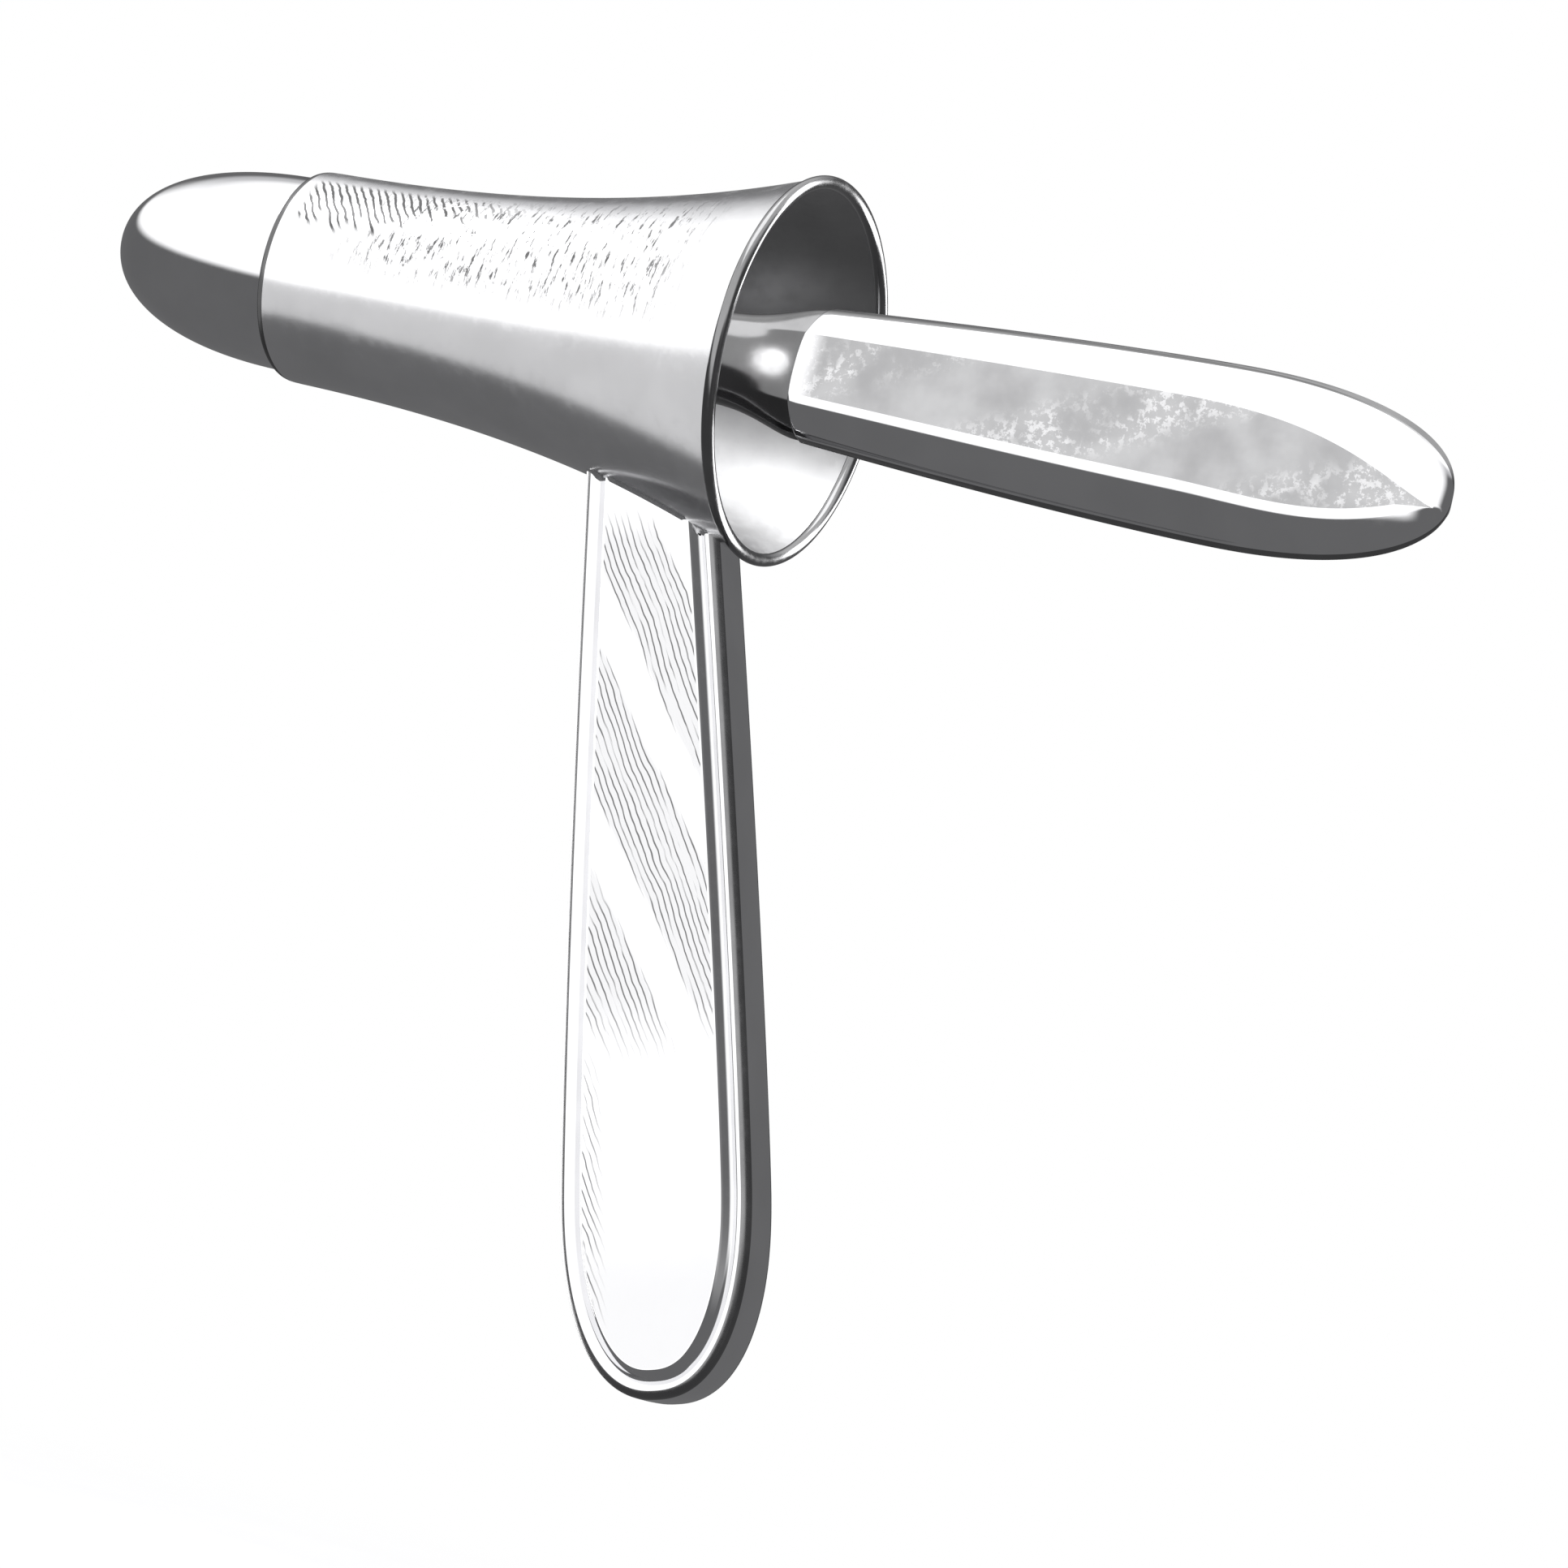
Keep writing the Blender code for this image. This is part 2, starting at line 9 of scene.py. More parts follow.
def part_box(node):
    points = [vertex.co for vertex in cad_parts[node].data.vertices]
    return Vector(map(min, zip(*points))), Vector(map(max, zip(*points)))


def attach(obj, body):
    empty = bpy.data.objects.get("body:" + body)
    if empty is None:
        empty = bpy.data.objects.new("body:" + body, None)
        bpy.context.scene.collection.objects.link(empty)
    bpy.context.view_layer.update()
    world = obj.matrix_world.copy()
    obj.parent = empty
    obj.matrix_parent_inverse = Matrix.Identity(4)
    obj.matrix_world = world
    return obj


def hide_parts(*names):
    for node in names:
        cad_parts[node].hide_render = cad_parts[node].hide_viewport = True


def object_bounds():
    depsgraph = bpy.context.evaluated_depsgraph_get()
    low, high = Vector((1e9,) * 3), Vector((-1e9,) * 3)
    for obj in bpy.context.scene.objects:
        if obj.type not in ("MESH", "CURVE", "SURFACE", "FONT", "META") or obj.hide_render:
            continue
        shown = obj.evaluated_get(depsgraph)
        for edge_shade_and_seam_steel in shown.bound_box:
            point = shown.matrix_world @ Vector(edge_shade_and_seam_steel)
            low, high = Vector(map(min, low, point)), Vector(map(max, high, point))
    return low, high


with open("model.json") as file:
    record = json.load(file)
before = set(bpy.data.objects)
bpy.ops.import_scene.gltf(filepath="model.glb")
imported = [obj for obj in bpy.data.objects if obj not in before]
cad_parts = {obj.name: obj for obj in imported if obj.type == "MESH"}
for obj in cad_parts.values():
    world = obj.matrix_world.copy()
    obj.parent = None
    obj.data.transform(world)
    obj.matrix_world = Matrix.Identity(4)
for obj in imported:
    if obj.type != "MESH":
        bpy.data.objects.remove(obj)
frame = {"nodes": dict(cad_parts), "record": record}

MM = 0.001
QUARTER_TURN = 0.5 * math.pi
CAD_LOW, CAD_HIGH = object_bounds()
MIDDLE = (CAD_LOW + CAD_HIGH) / 2

# Shape rules shared with the CAD part
SUPERELLIPSE = 2.3
FLARE_POWER = 2.35
CONE_SHARE = 0.1
TUBE_WALL = 0.8 * MM
RUNNING_GAP = 0.3 * MM
BEAD_RADIUS = 0.8 * MM

# Tube
MOUTH_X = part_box("mouth_bead_ring")[1].x
MOUTH_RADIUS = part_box("mouth_bead_ring")[1].z
DISTAL_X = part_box("speculum_tube")[0].x
BARREL_TIP_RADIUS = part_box("obturator_nose")[1].z
DISTAL_RADIUS = BARREL_TIP_RADIUS + TUBE_WALL + RUNNING_GAP
TUBE_LENGTH = MOUTH_X - DISTAL_X
LIP_LENGTH = 0.95 * MM  # the distal end's outer edge is rounded over this length and rise
LIP_RISE = 0.25 * MM
LIP_STEPS = 8
BORE_SETBACK = 0.1 * MM  # of the bore's edge from the distal end
TUBE_STATIONS = 90
TURN_SEGMENTS = 192
BEAD_STEPS = 28

# Handle, in its own frame: across and y span its section, and depth runs down it from the tube's axis
HOLD_AXIS = next(m["axis"] for m in frame["record"]["mounts"] if m["name"] == "hand_hold")
HANDLE_LEAN = math.atan2(HOLD_AXIS[0], -HOLD_AXIS[2])
HANDLE_ROOT = 8.0 * MM
HANDLE_START = HANDLE_ROOT + 2.0 * MM
HANDLE_WIDEST = 105.0 * MM
HANDLE_END = 129.4 * MM
HANDLE_ROOT_HALF = 8.0 * MM
HANDLE_MAX_HALF = 12.4 * MM
HANDLE_SWELL = 1.3
HANDLE_RIM_HALF = 4.1 * MM
HANDLE_SIZES = (HANDLE_ROOT, HANDLE_WIDEST, HANDLE_END, HANDLE_ROOT_HALF, HANDLE_MAX_HALF, HANDLE_SWELL)
HANDLE_SIDE_STATIONS = 70
HANDLE_END_STATIONS = 48
SLOPE_STEP = 0.02 * MM
ROOT_SINK = 0.4 * TUBE_WALL
CAP_SHARES = (0.03, 0.25, 0.5, 0.75, 0.9)  # rings that close the root along the tube's wall
SEARCH_DEPTH = 40.0 * MM
SEARCH_HALVINGS = 40

# The handle's edge, from the middle of its side band over the rim and channel to the raised panel
SIDE_CROWN = 0.1 * MM
SIDE_POINTS = 5
EDGE_ROUNDING = 1.2 * MM
EDGE_POINTS = 9
# Faces over the handle's rounded edge that take a darker steel: painted shade.
PAINTED_SHADE_EDGE_STEPS = 7
RIM_INSET = 1.4 * MM
CHANNEL_INSET = 2.15 * MM
CHANNEL_DIP = 0.45 * MM
CHANNEL_EASE = 1.15
CHANNEL_POINTS = 7
CHANNEL_FOOT = 0.18 * MM
CHANNEL_LIFT = 0.07 * MM
CREST_POINTS = 5
PANEL_INSET = 3.45 * MM
PANEL_RISE = 0.6 * MM
PANEL_BEVEL = 0.16 * MM
PANEL_BEVEL_DROP = 0.015 * MM
PANEL_MARGIN = 0.1 * MM
PANEL_COLUMNS = 16

# Braze fillet
BRAZE_REACH = 0.55 * MM
BRAZE_FOOT_SHARE = 1.1
BRAZE_OVERLAP = 0.1 * MM
BRAZE_CORNER_SINK = 0.2 * MM
BRAZE_TOE_SINK = 0.03 * MM
BRAZE_BEND = 0.12 * MM
BRAZE_BEND_DEPTH = 0.1 * MM
BRAZE_POINTS = 6
BRAZE_SPAN = 3  # columns to each side that give the outline's direction

# Obturator
NOSE_TIP_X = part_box("obturator_nose")[0].x
NOSE_SEAM_X = DISTAL_X + 6.0 * MM
SLEEVE_SEAM_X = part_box("obturator_sleeve")[1].x
CONE_END_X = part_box("obturator_rear_cone")[1].x
SEAM_CHAMFER = 0.12 * MM
NOSE_STATIONS = 70
SLEEVE_STATIONS = 30
CONE_STATIONS = 40
NECK_RADIUS = 5.7 * MM
NECK_LATENESS = 1.6  # the neck stays round for the first part of its length
NECK_FIT = 0.97  # the neck ends just inside the grip's section
NECK_OVERLAP = 2.0 * MM
NECK_OVERLAP_SHARES = (0.8, 0.85)
NECK_SEAM_STEP = 0.02 * MM
NECK_SEAM_SHARE = 0.999
NECK_STATIONS = 48
NECK_SEGMENTS = 128

# Grip
GRIP_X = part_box("grip_shell_front")[0].x
GRIP_END_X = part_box("grip_shell_front")[1].x
GRIP_MAX_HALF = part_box("grip_shell_front")[1].z
GRIP_HALF_THICK = -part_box("grip_shell_front")[0].y
GRIP_WIDEST_X = 76.0 * MM
GRIP_ROOT_HALF = 8.4 * MM
GRIP_SWELL = 1.55
GRIP_TIP_HALF_THICK = 2.2 * MM
GRIP_TIP_FULLNESS = 14
GRIP_SIZES = (GRIP_X, GRIP_WIDEST_X, GRIP_END_X, GRIP_ROOT_HALF, GRIP_MAX_HALF, GRIP_SWELL)
GRIP_SIDE_STATIONS = 60
GRIP_END_STATIONS = 56
PANEL_SHARE = 0.5
PANEL_TAPER_X = 70.0 * MM
PANEL_TIP_X = GRIP_END_X - 1.5 * MM
PANEL_TAPER = 4.0
PANEL_DROOP = 1.7 * MM
PANEL_DROOP_LIMIT = 0.8
PANEL_POINTS = 9
POLISHED_STRIP = 0.95 * MM
STRIP_LIMIT = 0.6
SHOULDER_SLOPE = 0.56
SHOULDER_EASE = 1.1
SHOULDER_FULLNESS = 5
SHOULDER_POINTS = 12
ROOT_BULGE = 1.6 * MM
ROOT_BULGE_LENGTH = 12.0 * MM
ROOT_ROUNDING = 0.6 * MM
ROOT_POINTS = 6


# ---------------------------------------------------------------- meshes

WELD_DISTANCE = 2e-6
SLIVER_LENGTH = 1e-6
SHARP_EDGE = math.radians(38)


def spread(low, high, count):
    """Evenly spaced numbers from low to high, both included."""
    return [low + (high - low) * k / (count - 1) for k in range(count)]


def grid_piece(name, rows, materials, pick=None):
    """A closed surface through rows of points, with equal points welded.

    pick(row, column) gives the index of a face's material.
    """
    work = bmesh.new()
    made = [[work.verts.new(p) for p in row] for row in rows]
    width = len(rows[0])
    for r in range(len(rows) - 1):
        for c in range(width):
            following = (c + 1) % width
            painted_shade_columns = (made[r][c], made[r][following], made[r + 1][following], made[r + 1][c])
            face = work.faces.new(painted_shade_columns)
            if pick:
                face.material_index = pick(r, c)
    return finish_piece(name, work, materials)


def finish_piece(name, work, materials):
    """Welds, closes and links a bmesh as a smooth-shaded piece with its faces turned outwards."""
    bmesh.ops.remove_doubles(work, verts=work.verts, dist=WELD_DISTANCE)
    bmesh.ops.dissolve_degenerate(work, edges=work.edges, dist=SLIVER_LENGTH)
    rims = [edge for edge in work.edges if edge.is_boundary]
    if rims:
        bmesh.ops.holes_fill(work, edges=rims, sides=0)
    bmesh.ops.recalc_face_normals(work, faces=work.faces)
    mesh = bpy.data.meshes.new(name)
    work.to_mesh(mesh)
    work.free()
    for material in materials:
        mesh.materials.append(material)
    mesh.shade_smooth()
    mesh.set_sharp_from_angle(angle=SHARP_EDGE)
    piece = bpy.data.objects.new(name, mesh)
    bpy.context.scene.collection.objects.link(piece)
    return piece


def turned_piece(name, profile, materials, closed=False, pick=None):
    """Turns a profile of (x, radius) about the X axis. A closed profile makes a ring or a tube."""
    loop = profile + profile[:1] if closed else profile
    turns = [math.tau * k / TURN_SEGMENTS for k in range(TURN_SEGMENTS)]
    rows = [[(x, radius * math.sin(t), radius * math.cos(t)) for t in turns] for x, radius in loop]
    return grid_piece(name, rows, materials, pick)


def place(piece, body, slot, *nodes):
    """Rides on a body and stands for CAD nodes, which it hides. The slot is not used."""
    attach(piece, body)
    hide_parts(*nodes)
    return piece


# ---------------------------------------------------------------- shape rules


def tube_radius(x):
    """The tube's outer radius: a slight cone that flares towards the mouth."""
    u = max(0.0, (x - DISTAL_X) / TUBE_LENGTH)
    widening = (1 - CONE_SHARE) * u**FLARE_POWER + CONE_SHARE * u
    return DISTAL_RADIUS + (MOUTH_RADIUS - DISTAL_RADIUS) * widening


def barrel_radius(x):
    """The obturator's radius where it runs in the tube's bore."""
    return tube_radius(x) - TUBE_WALL - RUNNING_GAP


def paddle_half_width(along, root, widest, end, root_half, max_half, swell):
    """Half the width of a flat paddle that swells to its widest place and ends in a full round."""
    if along <= widest:
        share = max(0.0, 1 - (along - root) / (widest - root))
        return max_half - (max_half - root_half) * share**swell
    share = min(1.0, (along - widest) / (end - widest))
    return max_half * (1 - share**SUPERELLIPSE) ** (1 / SUPERELLIPSE)


def rounded_end(widest, end, count):
    """Stations past the widest place, closer together towards the rounded end."""
    turns = spread(0.0, QUARTER_TURN, count + 1)[1:]
    return [widest + (end - widest) * math.sin(t) ** (2 / SUPERELLIPSE) for t in turns]


def smooth(share):
    """Eases from 0 to 1, flat at both ends."""
    share = min(1.0, max(0.0, share))
    return share * share * (3 - 2 * share)


def handle_point(across, y, depth):
    """A point given in the handle's own frame, in world space."""
    sine, cosine = math.sin(HANDLE_LEAN), math.cos(HANDLE_LEAN)
    return Vector((across * cosine + depth * sine, y, across * sine - depth * cosine))


def on_tube(across, y, sink):
    """The depth at which a line down the handle leaves the tube's wall, sink metres inside its surface."""
    low, high = HANDLE_ROOT, SEARCH_DEPTH
    for _ in range(SEARCH_HALVINGS):
        depth = (low + high) / 2
        point = handle_point(across, y, depth)
        inside = math.hypot(point.y, point.z) < tube_radius(point.x) - sink
        low, high = (depth, high) if inside else (low, depth)
    return depth


# ---------------------------------------------------------------- speculum

OUTSIDE, BORE, LIP_SHADE = range(3)
EDGE, PANEL, EDGE_SHADE_AND_SEAM = range(3)


def make_tube(outside, bore, lip_shade_finish):
    """The flared tube: polished outside, satin in the bore with darker steel there as painted shade, and much
    darker steel round the edge of its distal end as painted shade.
    """
    edge_radius = tube_radius(DISTAL_X)
    outer = []
    for t in spread(QUARTER_TURN, 0.0, LIP_STEPS + 1):
        x = DISTAL_X + LIP_LENGTH * (1 - math.sin(t))
        outer.append((x, edge_radius - LIP_RISE * (1 - math.cos(t))))
    stations = spread(DISTAL_X + LIP_LENGTH, MOUTH_X - BEAD_RADIUS, TUBE_STATIONS)
    outer += [(x, tube_radius(x)) for x in stations[1:]]
    inner = [(x, tube_radius(x) - TUBE_WALL) for x in reversed(stations)]
    inner += [(DISTAL_X + BORE_SETBACK, edge_radius - TUBE_WALL)]
    last = len(outer) + len(inner) - 1

    # Painted shade: the faces round the distal edge take a much darker steel.
    def finish(r, c):
        if r < LIP_STEPS - 1 or r >= last - 1:
            return LIP_SHADE
        return BORE if r >= len(outer) - 1 else OUTSIDE

    finishes = [outside, bore, lip_shade_finish]
    piece = turned_piece("tube_wall", outer + inner, finishes, closed=True, pick=finish)
    piece.visible_glossy = False
    return place(piece, "speculum", "polished_tube", "speculum_tube")


def make_mouth_bead(material):
    """The round bead along the edge of the mouth."""
    middle_x, middle_radius = MOUTH_X - BEAD_RADIUS, MOUTH_RADIUS - BEAD_RADIUS
    circle = []
    for t in [math.tau * k / BEAD_STEPS for k in range(BEAD_STEPS)]:
        circle.append((middle_x + BEAD_RADIUS * math.cos(t), middle_radius + BEAD_RADIUS * math.sin(t)))
    piece = turned_piece("mouth_rolled_bead", circle, [material], closed=True)
    piece.visible_glossy = False
    return place(piece, "speculum", "polished_bead", "mouth_bead_ring")


def handle_outline():
    """One side of the handle's edge as (across, depth, inward across, inward depth), from root to tip."""
    outline = []
    for depth in spread(HANDLE_START, HANDLE_WIDEST, HANDLE_SIDE_STATIONS):
        high, low = min(HANDLE_WIDEST, depth + SLOPE_STEP), depth - SLOPE_STEP
        rise = paddle_half_width(high, *HANDLE_SIZES) - paddle_half_width(low, *HANDLE_SIZES)
        slope = rise / (high - low)
        size = math.hypot(1.0, slope)
        outline.append((paddle_half_width(depth, *HANDLE_SIZES), depth, -1 / size, slope / size))
    reach = HANDLE_END - HANDLE_WIDEST
    for depth in rounded_end(HANDLE_WIDEST, HANDLE_END, HANDLE_END_STATIONS):
        half = paddle_half_width(depth, *HANDLE_SIZES)
        lean_across = (half / HANDLE_MAX_HALF) ** (SUPERELLIPSE - 1) / HANDLE_MAX_HALF
        lean_depth = ((depth - HANDLE_WIDEST) / reach) ** (SUPERELLIPSE - 1) / reach
        size = math.hypot(lean_across, lean_depth)
        outline.append((half, depth, -lean_across / size, -lean_depth / size))
    return outline


def handle_rings():
    """(inset, height) from the middle of the side band over the edge, rim and channel to the raised panel."""
    rim, panel = HANDLE_RIM_HALF, HANDLE_RIM_HALF + PANEL_RISE
    rings = [(SIDE_CROWN * (h / rim) ** 2, h) for h in spread(0.0, rim - EDGE_ROUNDING, SIDE_POINTS)]
    start = rings[-1][0]
    for t in spread(0.0, QUARTER_TURN, EDGE_POINTS)[1:]:
        rings.append((start + EDGE_ROUNDING * (1 - math.cos(t)), rim - EDGE_ROUNDING * (1 - math.sin(t))))
    for share in spread(0.0, 1.0, CHANNEL_POINTS)[1:]:
        inset = RIM_INSET + (CHANNEL_INSET - RIM_INSET) * share
        rings.append((inset, rim - CHANNEL_DIP * share**CHANNEL_EASE))
    foot = Vector((CHANNEL_INSET + CHANNEL_FOOT, rim - CHANNEL_DIP + CHANNEL_LIFT))
    crest = Vector((PANEL_INSET - PANEL_BEVEL, panel - 0.5 * PANEL_BEVEL))
    rings += [tuple(foot.lerp(crest, share)) for share in spread(0.0, 1.0, CREST_POINTS)]
    rings.append((PANEL_INSET - 0.5 * PANEL_BEVEL, panel - PANEL_BEVEL_DROP))
    rings += [(PANEL_INSET, panel), (PANEL_INSET + PANEL_MARGIN, panel)]
    return rings


def handle_rows():
    """The handle's grid: each row goes once round the section, and the last row is folded at the tip."""
    rings, rows = handle_rings(), []
    for across, depth, in_across, in_depth in handle_outline():
        right = [(across + in_across * i, h, depth + in_depth * i) for i, h in rings]
        edge = right[-1]
        shares = spread(1.0, -1.0, PANEL_COLUMNS + 1)[1:-1]
        panel = [(edge[0] * s, edge[1], edge[2]) for s in shares]
        left = [(-a, h, d) for a, h, d in reversed(right)]
        front = right + panel + left
        back = [(a, -h, d) for a, h, d in reversed(front)][1:-1]
        rows.append([(a, -h, d) for a, h, d in front + back])
    return rows


def make_handle(edge_material, panel_material, edge_shade_material):
    """The handle in one skin, with its root closed along the tube's wall."""
    rows = handle_rows()
    placed = []
    for share in CAP_SHARES:
        ring = [(a * share, y * share) for a, y, d in rows[0]]
        placed.append([handle_point(a, y, on_tube(a, y, ROOT_SINK)) for a, y in ring])
    tops = [on_tube(a, y, ROOT_SINK) for a, y, d in rows[0]]
    for row in rows:
        placed.append([handle_point(a, y, max(d, top)) for (a, y, d), top in zip(row, tops)])

    rings, width = len(handle_rings()), len(rows[0])
    half = 2 * rings + PANEL_COLUMNS - 1
    panels = set()
    for start in (rings - 1, half + rings - 2):
        panels |= set(range(start, start + PANEL_COLUMNS))
    # Painted shade: these columns over the rounded edges take the darker steel.
    painted_shade_columns = set()
    for start, turn in ((0, 1), (half - 2, -1), (half - 1, 1), (width - 1, -1)):
        first = SIDE_POINTS - 1
        painted_shade_columns |= {start + turn * step for step in range(first, first + PAINTED_SHADE_EDGE_STEPS)}

    def finish(r, c):
        if r < len(CAP_SHARES):
            return EDGE
        if c in panels:
            return PANEL
        return EDGE_SHADE_AND_SEAM if c in painted_shade_columns else EDGE

    piece = grid_piece("handle_body", placed, [edge_material, panel_material, edge_shade_material], finish)
    return place(piece, "speculum", "polished_handle", "handle_shell_front", "handle_shell_back")


def make_braze(material):
    """A small concave fillet of braze where the handle meets the tube."""
    loop = [Vector((a, y)) for a, y, d in handle_rows()[0]]
    rows = []
    for k, edge in enumerate(loop):
        along = (loop[(k + BRAZE_SPAN) % len(loop)] - loop[k - BRAZE_SPAN]).normalized()
        outward = Vector((along.y, -along.x))
        if outward.dot(Vector((edge.x / HANDLE_ROOT_HALF, edge.y / HANDLE_RIM_HALF))) < 0:
            outward = -outward
        near = edge - outward * BRAZE_OVERLAP
        far = edge + outward * BRAZE_REACH
        middle = edge + outward * BRAZE_BEND
        edge_shade_and_seam_steel = handle_point(near.x, near.y, on_tube(near.x, near.y, BRAZE_CORNER_SINK))
        foot = handle_point(near.x, near.y, on_tube(near.x, near.y, 0.0) + BRAZE_FOOT_SHARE * BRAZE_REACH)
        toe = handle_point(far.x, far.y, on_tube(far.x, far.y, BRAZE_TOE_SINK))
        bend = handle_point(middle.x, middle.y, on_tube(edge.x, edge.y, 0.0) + BRAZE_BEND_DEPTH)
        shares = spread(0.0, 1.0, BRAZE_POINTS)
        curve = [foot * (1 - s) ** 2 + bend * 2 * s * (1 - s) + toe * s**2 for s in shares]
        rows.append([edge_shade_and_seam_steel] + curve)
    rows.append(rows[0])
    piece = grid_piece("handle_braze_fillet", rows, [material])
    return place(piece, "speculum", "braze", "handle_braze_bead")


# ---------------------------------------------------------------- obturator


def make_nose(material):
    """The bullet nose with the straight land that sits in the tube's tip."""
    power = 2 / SUPERELLIPSE
    length = DISTAL_X - NOSE_TIP_X
    profile = []
    for t in spread(0.0, QUARTER_TURN, NOSE_STATIONS):
        x = DISTAL_X - length * math.cos(t) ** power
        profile.append((x, BARREL_TIP_RADIUS * math.sin(t) ** power))
    profile += [(NOSE_SEAM_X - SEAM_CHAMFER, BARREL_TIP_RADIUS)]
    profile += [(NOSE_SEAM_X, BARREL_TIP_RADIUS - SEAM_CHAMFER), (NOSE_SEAM_X, 0.0)]
    piece = turned_piece("nose_bullet", profile, [material])
    return place(piece, "obturator", "polished_obturator", "obturator_nose")


def sleeve_radius(x):
    """The sleeve starts at the nose's radius and follows the tube's bore."""
    return BARREL_TIP_RADIUS + (barrel_radius(x) - barrel_radius(NOSE_SEAM_X))


def make_sleeve(material):
    """The barrel behind the nose."""
    stations = spread(NOSE_SEAM_X + SEAM_CHAMFER, SLEEVE_SEAM_X - SEAM_CHAMFER, SLEEVE_STATIONS)
    profile = [(NOSE_SEAM_X, 0.0), (NOSE_SEAM_X, sleeve_radius(NOSE_SEAM_X) - SEAM_CHAMFER)]
    profile += [(x, sleeve_radius(x)) for x in stations]
    profile += [(SLEEVE_SEAM_X, sleeve_radius(SLEEVE_SEAM_X) - SEAM_CHAMFER), (SLEEVE_SEAM_X, 0.0)]
    piece = turned_piece("barrel_sleeve", profile, [material])
    return place(piece, "obturator", "polished_obturator", "obturator_sleeve")


def make_rear_cone(material):
    """The shoulder that closes the barrel down to the neck."""
    start = sleeve_radius(SLEEVE_SEAM_X)
    first = SLEEVE_SEAM_X + SEAM_CHAMFER
    profile = [(SLEEVE_SEAM_X, 0.0), (SLEEVE_SEAM_X, start - SEAM_CHAMFER)]
    for share in spread(0.0, 1.0, CONE_STATIONS):
        ease = 0.5 - 0.5 * math.cos(math.pi * share)
        profile.append((first + (CONE_END_X - first) * share, start + (NECK_RADIUS - start) * ease))
    profile.append((CONE_END_X, 0.0))
    piece = turned_piece("rear_cone", profile, [material])
    return place(piece, "obturator", "polished_obturator", "obturator_rear_cone")


def section_reach(section, turn):
    """How far a closed section of (y, z) points reaches in the direction of turn."""
    parallel, tolerance = 1e-15, 1e-9
    aim = Vector((math.sin(turn), math.cos(turn)))
    best = 0.0
    for (y0, z0), (y1, z1) in zip(section, section[1:] + section[:1]):
        run_y, run_z = y1 - y0, z1 - z0
        cross = aim.x * run_z - aim.y * run_y
        if abs(cross) < parallel:
            continue
        along = (y0 * run_z - z0 * run_y) / cross
        share = (y0 * aim.y - z0 * aim.x) / cross
        if -tolerance <= share <= 1 + tolerance and along > best:
            best = along
    return best


def make_neck(material):
    """The waisted neck: round at the cone, growing into the grip's section where it enters the grip."""
    turns = [math.tau * k / NECK_SEGMENTS for k in range(NECK_SEGMENTS)]
    section, _ = grip_columns(GRIP_X + ROOT_ROUNDING)
    reaches = [section_reach(section, t) for t in turns]
    first_share, last_share = NECK_OVERLAP_SHARES

    def ring(x, blend, scale):
        radii = [scale * (NECK_RADIUS + (NECK_FIT * reach - NECK_RADIUS) * blend) for reach in reaches]
        return [(x, r * math.sin(t), r * math.cos(t)) for r, t in zip(radii, turns)]

    rows = [ring(CONE_END_X - NECK_OVERLAP, 0.0, first_share)]
    rows.append(ring(CONE_END_X - NECK_SEAM_STEP, 0.0, NECK_SEAM_SHARE))
    for share in spread(0.0, 1.0, NECK_STATIONS)[1:]:
        rows.append(ring(CONE_END_X + (GRIP_X - CONE_END_X) * share, smooth(share**NECK_LATENESS), 1.0))
    rows.append(ring(GRIP_X + NECK_OVERLAP, 1.0, last_share))
    piece = grid_piece("neck_waist", rows, [material])
    return place(piece, "obturator", "polished_neck", "obturator_neck")


def grip_thickness(x):
    """Half the grip's thickness: even along its length, thinner towards its tip."""
    share = max(0.0, (x - GRIP_WIDEST_X) / (GRIP_END_X - GRIP_WIDEST_X))
    thinned = GRIP_HALF_THICK + (GRIP_TIP_HALF_THICK - GRIP_HALF_THICK) * share**2
    return thinned * math.sqrt(max(0.0, 1 - share**GRIP_TIP_FULLNESS))


def shoulder_drop(share):
    """How much thinner the grip is, from 0 at the panel's edge to 1 at the grip's edge."""
    round_off = 1 - math.sqrt(max(0.0, 1 - share**SHOULDER_FULLNESS))
    return SHOULDER_SLOPE * share**SHOULDER_EASE + (1 - SHOULDER_SLOPE) * round_off


def grip_columns(x):
    """Points (y, z) once round the grip's section, starting at the lower edge and going up the front."""
    half, thick = paddle_half_width(x, *GRIP_SIZES), grip_thickness(x)
    share = max(0.0, (x - PANEL_TAPER_X) / (PANEL_TIP_X - PANEL_TAPER_X))
    panel = PANEL_SHARE * half * max(0.0, 1 - share**PANEL_TAPER)
    middle = -min(PANEL_DROOP, PANEL_DROOP_LIMIT * half) * smooth(share)
    low, high = middle - panel, middle + panel
    strip_top = low + min(POLISHED_STRIP, STRIP_LIMIT * panel)
    face = [low] + spread(strip_top, high, PANEL_POINTS)

    def shoulder(start, end):
        shares = spread(0.0, 1.0, SHOULDER_POINTS)
        return [(-thick * (1 - shoulder_drop(t)), start + (end - start) * t) for t in shares]

    lower = list(reversed(shoulder(low, -half)))[:-1]
    upper = shoulder(high, half)[1:]
    column = lower + [(-thick, z) for z in face] + upper
    back = [(-y, z) for y, z in reversed(column)][1:-1]
    return column + back, len(lower)


